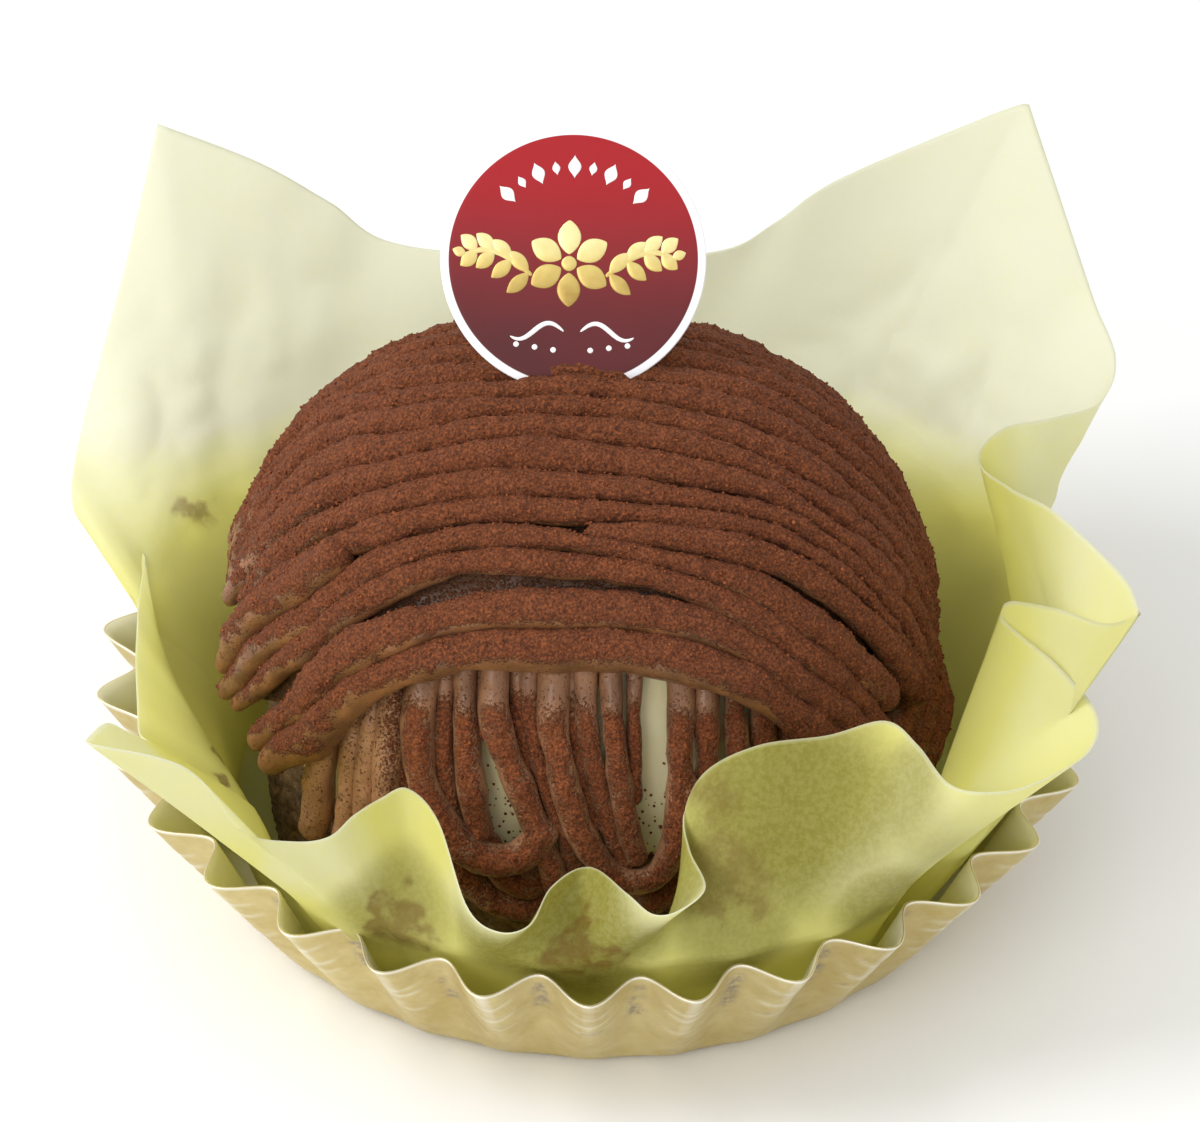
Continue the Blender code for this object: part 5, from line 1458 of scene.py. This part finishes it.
def add_stroke(shell, line, width, thickness, power=0.5):
    """Adds a flat stroke of the print: a low rounded ridge along a line in the plate's plane, its half width
    following the sine of the way to a power."""
    share = 0.5 - 0.5 * np.cos(math.pi * np.linspace(0.02, 0.98, STROKE_ROWS))
    full = np.concatenate([np.asarray(line, dtype=float), np.zeros((len(line), 1))], axis=1)
    centre = along_line(full, share * line_length(full))
    tangent = unit(np.gradient(centre, axis=0))
    side = np.stack([tangent[:, 1], -tangent[:, 0], np.zeros(len(centre))], -1)
    turn = full_turn(STROKE_SIDES)
    reach = (width * np.sin(math.pi * share) ** power)[:, None, None]
    rise = thickness * np.sin(math.pi * share)[:, None] ** 0.3
    rings = centre[:, None] + side[:, None] * np.cos(turn)[None, :, None] * reach
    rings[..., 2] += 0.5 * PICK_THICKNESS + rise * np.sin(turn)[None, :]
    first = np.array([*full[0, :2], rings[0, :, 2].mean()])
    last = np.array([*full[-1, :2], rings[-1, :, 2].mean()])
    shell.add_rings(on_plate(rings), on_plate(first), on_plate(last))


def add_spot(shell, spot, along, width, thickness, power):
    """Adds a short stroke from one side of a spot to the other."""
    add_stroke(shell, [spot - along, spot + along], width, thickness, power)


def leaf_line(root, direction_deg, length, curl_deg=0.0):
    """Line of a leaf from its root, turning evenly by its curl."""
    steps = heading(direction_deg + curl_deg * np.linspace(0.0, 1.0, LEAF_STEPS + 1)) * length / LEAF_STEPS
    return np.concatenate([[root], root + np.cumsum(steps[:-1], axis=0)])


def make_sprigs(finish):
    """Gold print: a blossom between two leafy sprigs."""
    shell = Shell()
    middle = np.array(BLOSSOM_CENTRE)
    for k in range(BLOSSOM_PETALS):
        direction = 90.0 + 360.0 / BLOSSOM_PETALS * k
        add_stroke(shell, leaf_line(middle + 0.9 * heading(direction), direction, 3.3), 1.15, 0.10, 0.7)
    add_spot(shell, middle, np.array([0.75, 0.0]), 0.75, 0.14, 0.5)
    for hand, outward_deg in ((-1.0, 180.0), (1.0, 0.0)):
        stem = np.stack([middle[0] + hand * np.linspace(*SPRIG_SPAN, 20),
                         middle[1] - 1.2 + 2.4 * np.sin(np.linspace(0.0, 2.2, 20))], -1)
        add_stroke(shell, stem, 0.30, 0.08, 0.2)
        for k, place in enumerate(SPRIG_LEAVES):
            for up in (-1.0, 1.0):
                leaf = leaf_line(stem[place], outward_deg + SPRIG_LEAF_DEG * up * hand, 2.9 - 0.25 * k,
                                 -18.0 * up * hand)
                add_stroke(shell, leaf, 0.72, 0.10, 0.8)
        add_stroke(shell, leaf_line(stem[-1], outward_deg + 20.0 * hand, 1.4), 0.5, 0.10, 0.8)
    add_shell("gilt_sprigs", shell, finish, "pick")


def make_scrolls(finish):
    """White print: an arc of diamonds above, and a double scroll with dots below."""
    shell = Shell()
    for k in range(DIAMOND_COUNT):
        along = heading(90.0 + DIAMOND_STEP_DEG * (k - DIAMOND_COUNT // 2))
        size = 1.15 if k % 2 == 0 else 0.7
        add_spot(shell, DIAMOND_RADIUS * along, size * along, 0.55 * size, 0.07, 1.6)
    for hand in (-1.0, 1.0):
        wave = SCROLL_Y + 0.8 * np.sin(np.linspace(0.0, 5.6, 30))
        add_stroke(shell, np.stack([hand * np.linspace(*SCROLL_SPAN, 30), wave], -1), 0.24, 0.07, 0.4)
        for k in range(3):
            spot = np.array([hand * (1.8 + 1.8 * k), -8.8 + 0.25 * k])
            add_spot(shell, spot, np.array([0.28, 0.0]), 0.28, 0.07, 0.5)
    add_shell("white_scrolls", shell, finish, "pick")


# Stage

def make_camera():
    """Camera at the fitted place, tilted down and rolled a little."""
    data = bpy.data.cameras.new("front_camera")
    data.sensor_width = CAMERA_SENSOR
    data.lens = CAMERA_LENS
    data.clip_start = 0.01
    data.clip_end = 10.0
    camera = bpy.data.objects.new("front_camera", data)
    bpy.context.scene.collection.objects.link(camera)
    camera.matrix_world = (Matrix.Translation(CAMERA_PLACE)
                           @ Matrix.Rotation(math.radians(90.0 - CAMERA_TILT_DEG), 4, "X")
                           @ Matrix.Rotation(math.radians(CAMERA_ROLL_DEG), 4, "Z"))
    bpy.context.scene.camera = camera


def make_floor():
    """Wide pale floor just under the cup."""
    data = bpy.data.meshes.new("pale_floor")
    corners = [(x * FLOOR_HALF, y * FLOOR_HALF, 0.0) for x, y in ((-1, -1), (1, -1), (1, 1), (-1, 1))]
    data.from_pydata(corners, [], [(0, 1, 2, 3)])
    material, tree, shader = new_finish("pale_floor_finish")
    fill(tree, shader, {"Base Color": FLOOR_COLOUR, "Roughness": 0.7})
    data.materials.append(material)
    floor = bpy.data.objects.new("pale_floor", data)
    floor.location.z = FLOOR_Z
    bpy.context.scene.collection.objects.link(floor)


def add_light(name, place, size, power):
    """Soft square lamp aimed at the middle of the cake."""
    data = bpy.data.lights.new(name, "AREA")
    data.shape = "SQUARE"
    data.size = size
    data.energy = power
    lamp = bpy.data.objects.new(name, data)
    bpy.context.scene.collection.objects.link(lamp)
    lamp.location = place
    aim = Vector(LAMP_AIM) - Vector(place)
    lamp.rotation_euler = aim.to_track_quat("-Z", "Y").to_euler()


def make_lights():
    """Large lamp above on the left, a weaker one in front, and an even white surrounding."""
    for lamp in LAMPS:
        add_light(*lamp)
    world = bpy.data.worlds.new("white_room")
    world.use_nodes = True
    fill(world.node_tree, world.node_tree.nodes["Background"],
         {"Color": (1.0, 1.0, 1.0), "Strength": SURROUNDING})
    bpy.context.scene.world = world
    bpy.context.scene.view_settings.view_transform = "Standard"


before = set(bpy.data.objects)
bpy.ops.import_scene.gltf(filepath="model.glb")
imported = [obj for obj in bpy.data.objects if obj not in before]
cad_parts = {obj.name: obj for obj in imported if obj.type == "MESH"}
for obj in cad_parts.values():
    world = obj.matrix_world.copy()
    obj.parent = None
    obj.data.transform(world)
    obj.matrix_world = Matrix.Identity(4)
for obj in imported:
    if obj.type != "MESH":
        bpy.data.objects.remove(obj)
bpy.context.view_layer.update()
make_camera()
make_floor()
make_lights()
samples = []
make_cup(make_foil_finish())
make_paper(make_paper_finish())
make_sponge(make_sponge_finish())
make_cream(make_cream_finish(), samples)
# The bed's paste is painted darker: painted shade between the upper strands
make_paste_bed(make_strand_finish("moist_bed", BED_DARK, BED_LIGHT))
# Lower strands: paste and cocoa painted lighter than on top, the left five paler still: painted light
make_lower_strands(make_strand_finish("hanging_paste", HANGING_DARK, HANGING_LIGHT, COCOA_PAINTED_LIGHT),
                   make_strand_finish("dusted_tan_paste", TAN_DARK, TAN_LIGHT), samples)
make_upper_strands(make_strand_finish("dusted_paste", PASTE_DARK, PASTE_LIGHT), samples)
make_crumbs(make_crumb_finish(), samples)
make_card(make_card_finish())
make_sprigs(make_gilt_finish())
make_scrolls(make_white_print_finish())
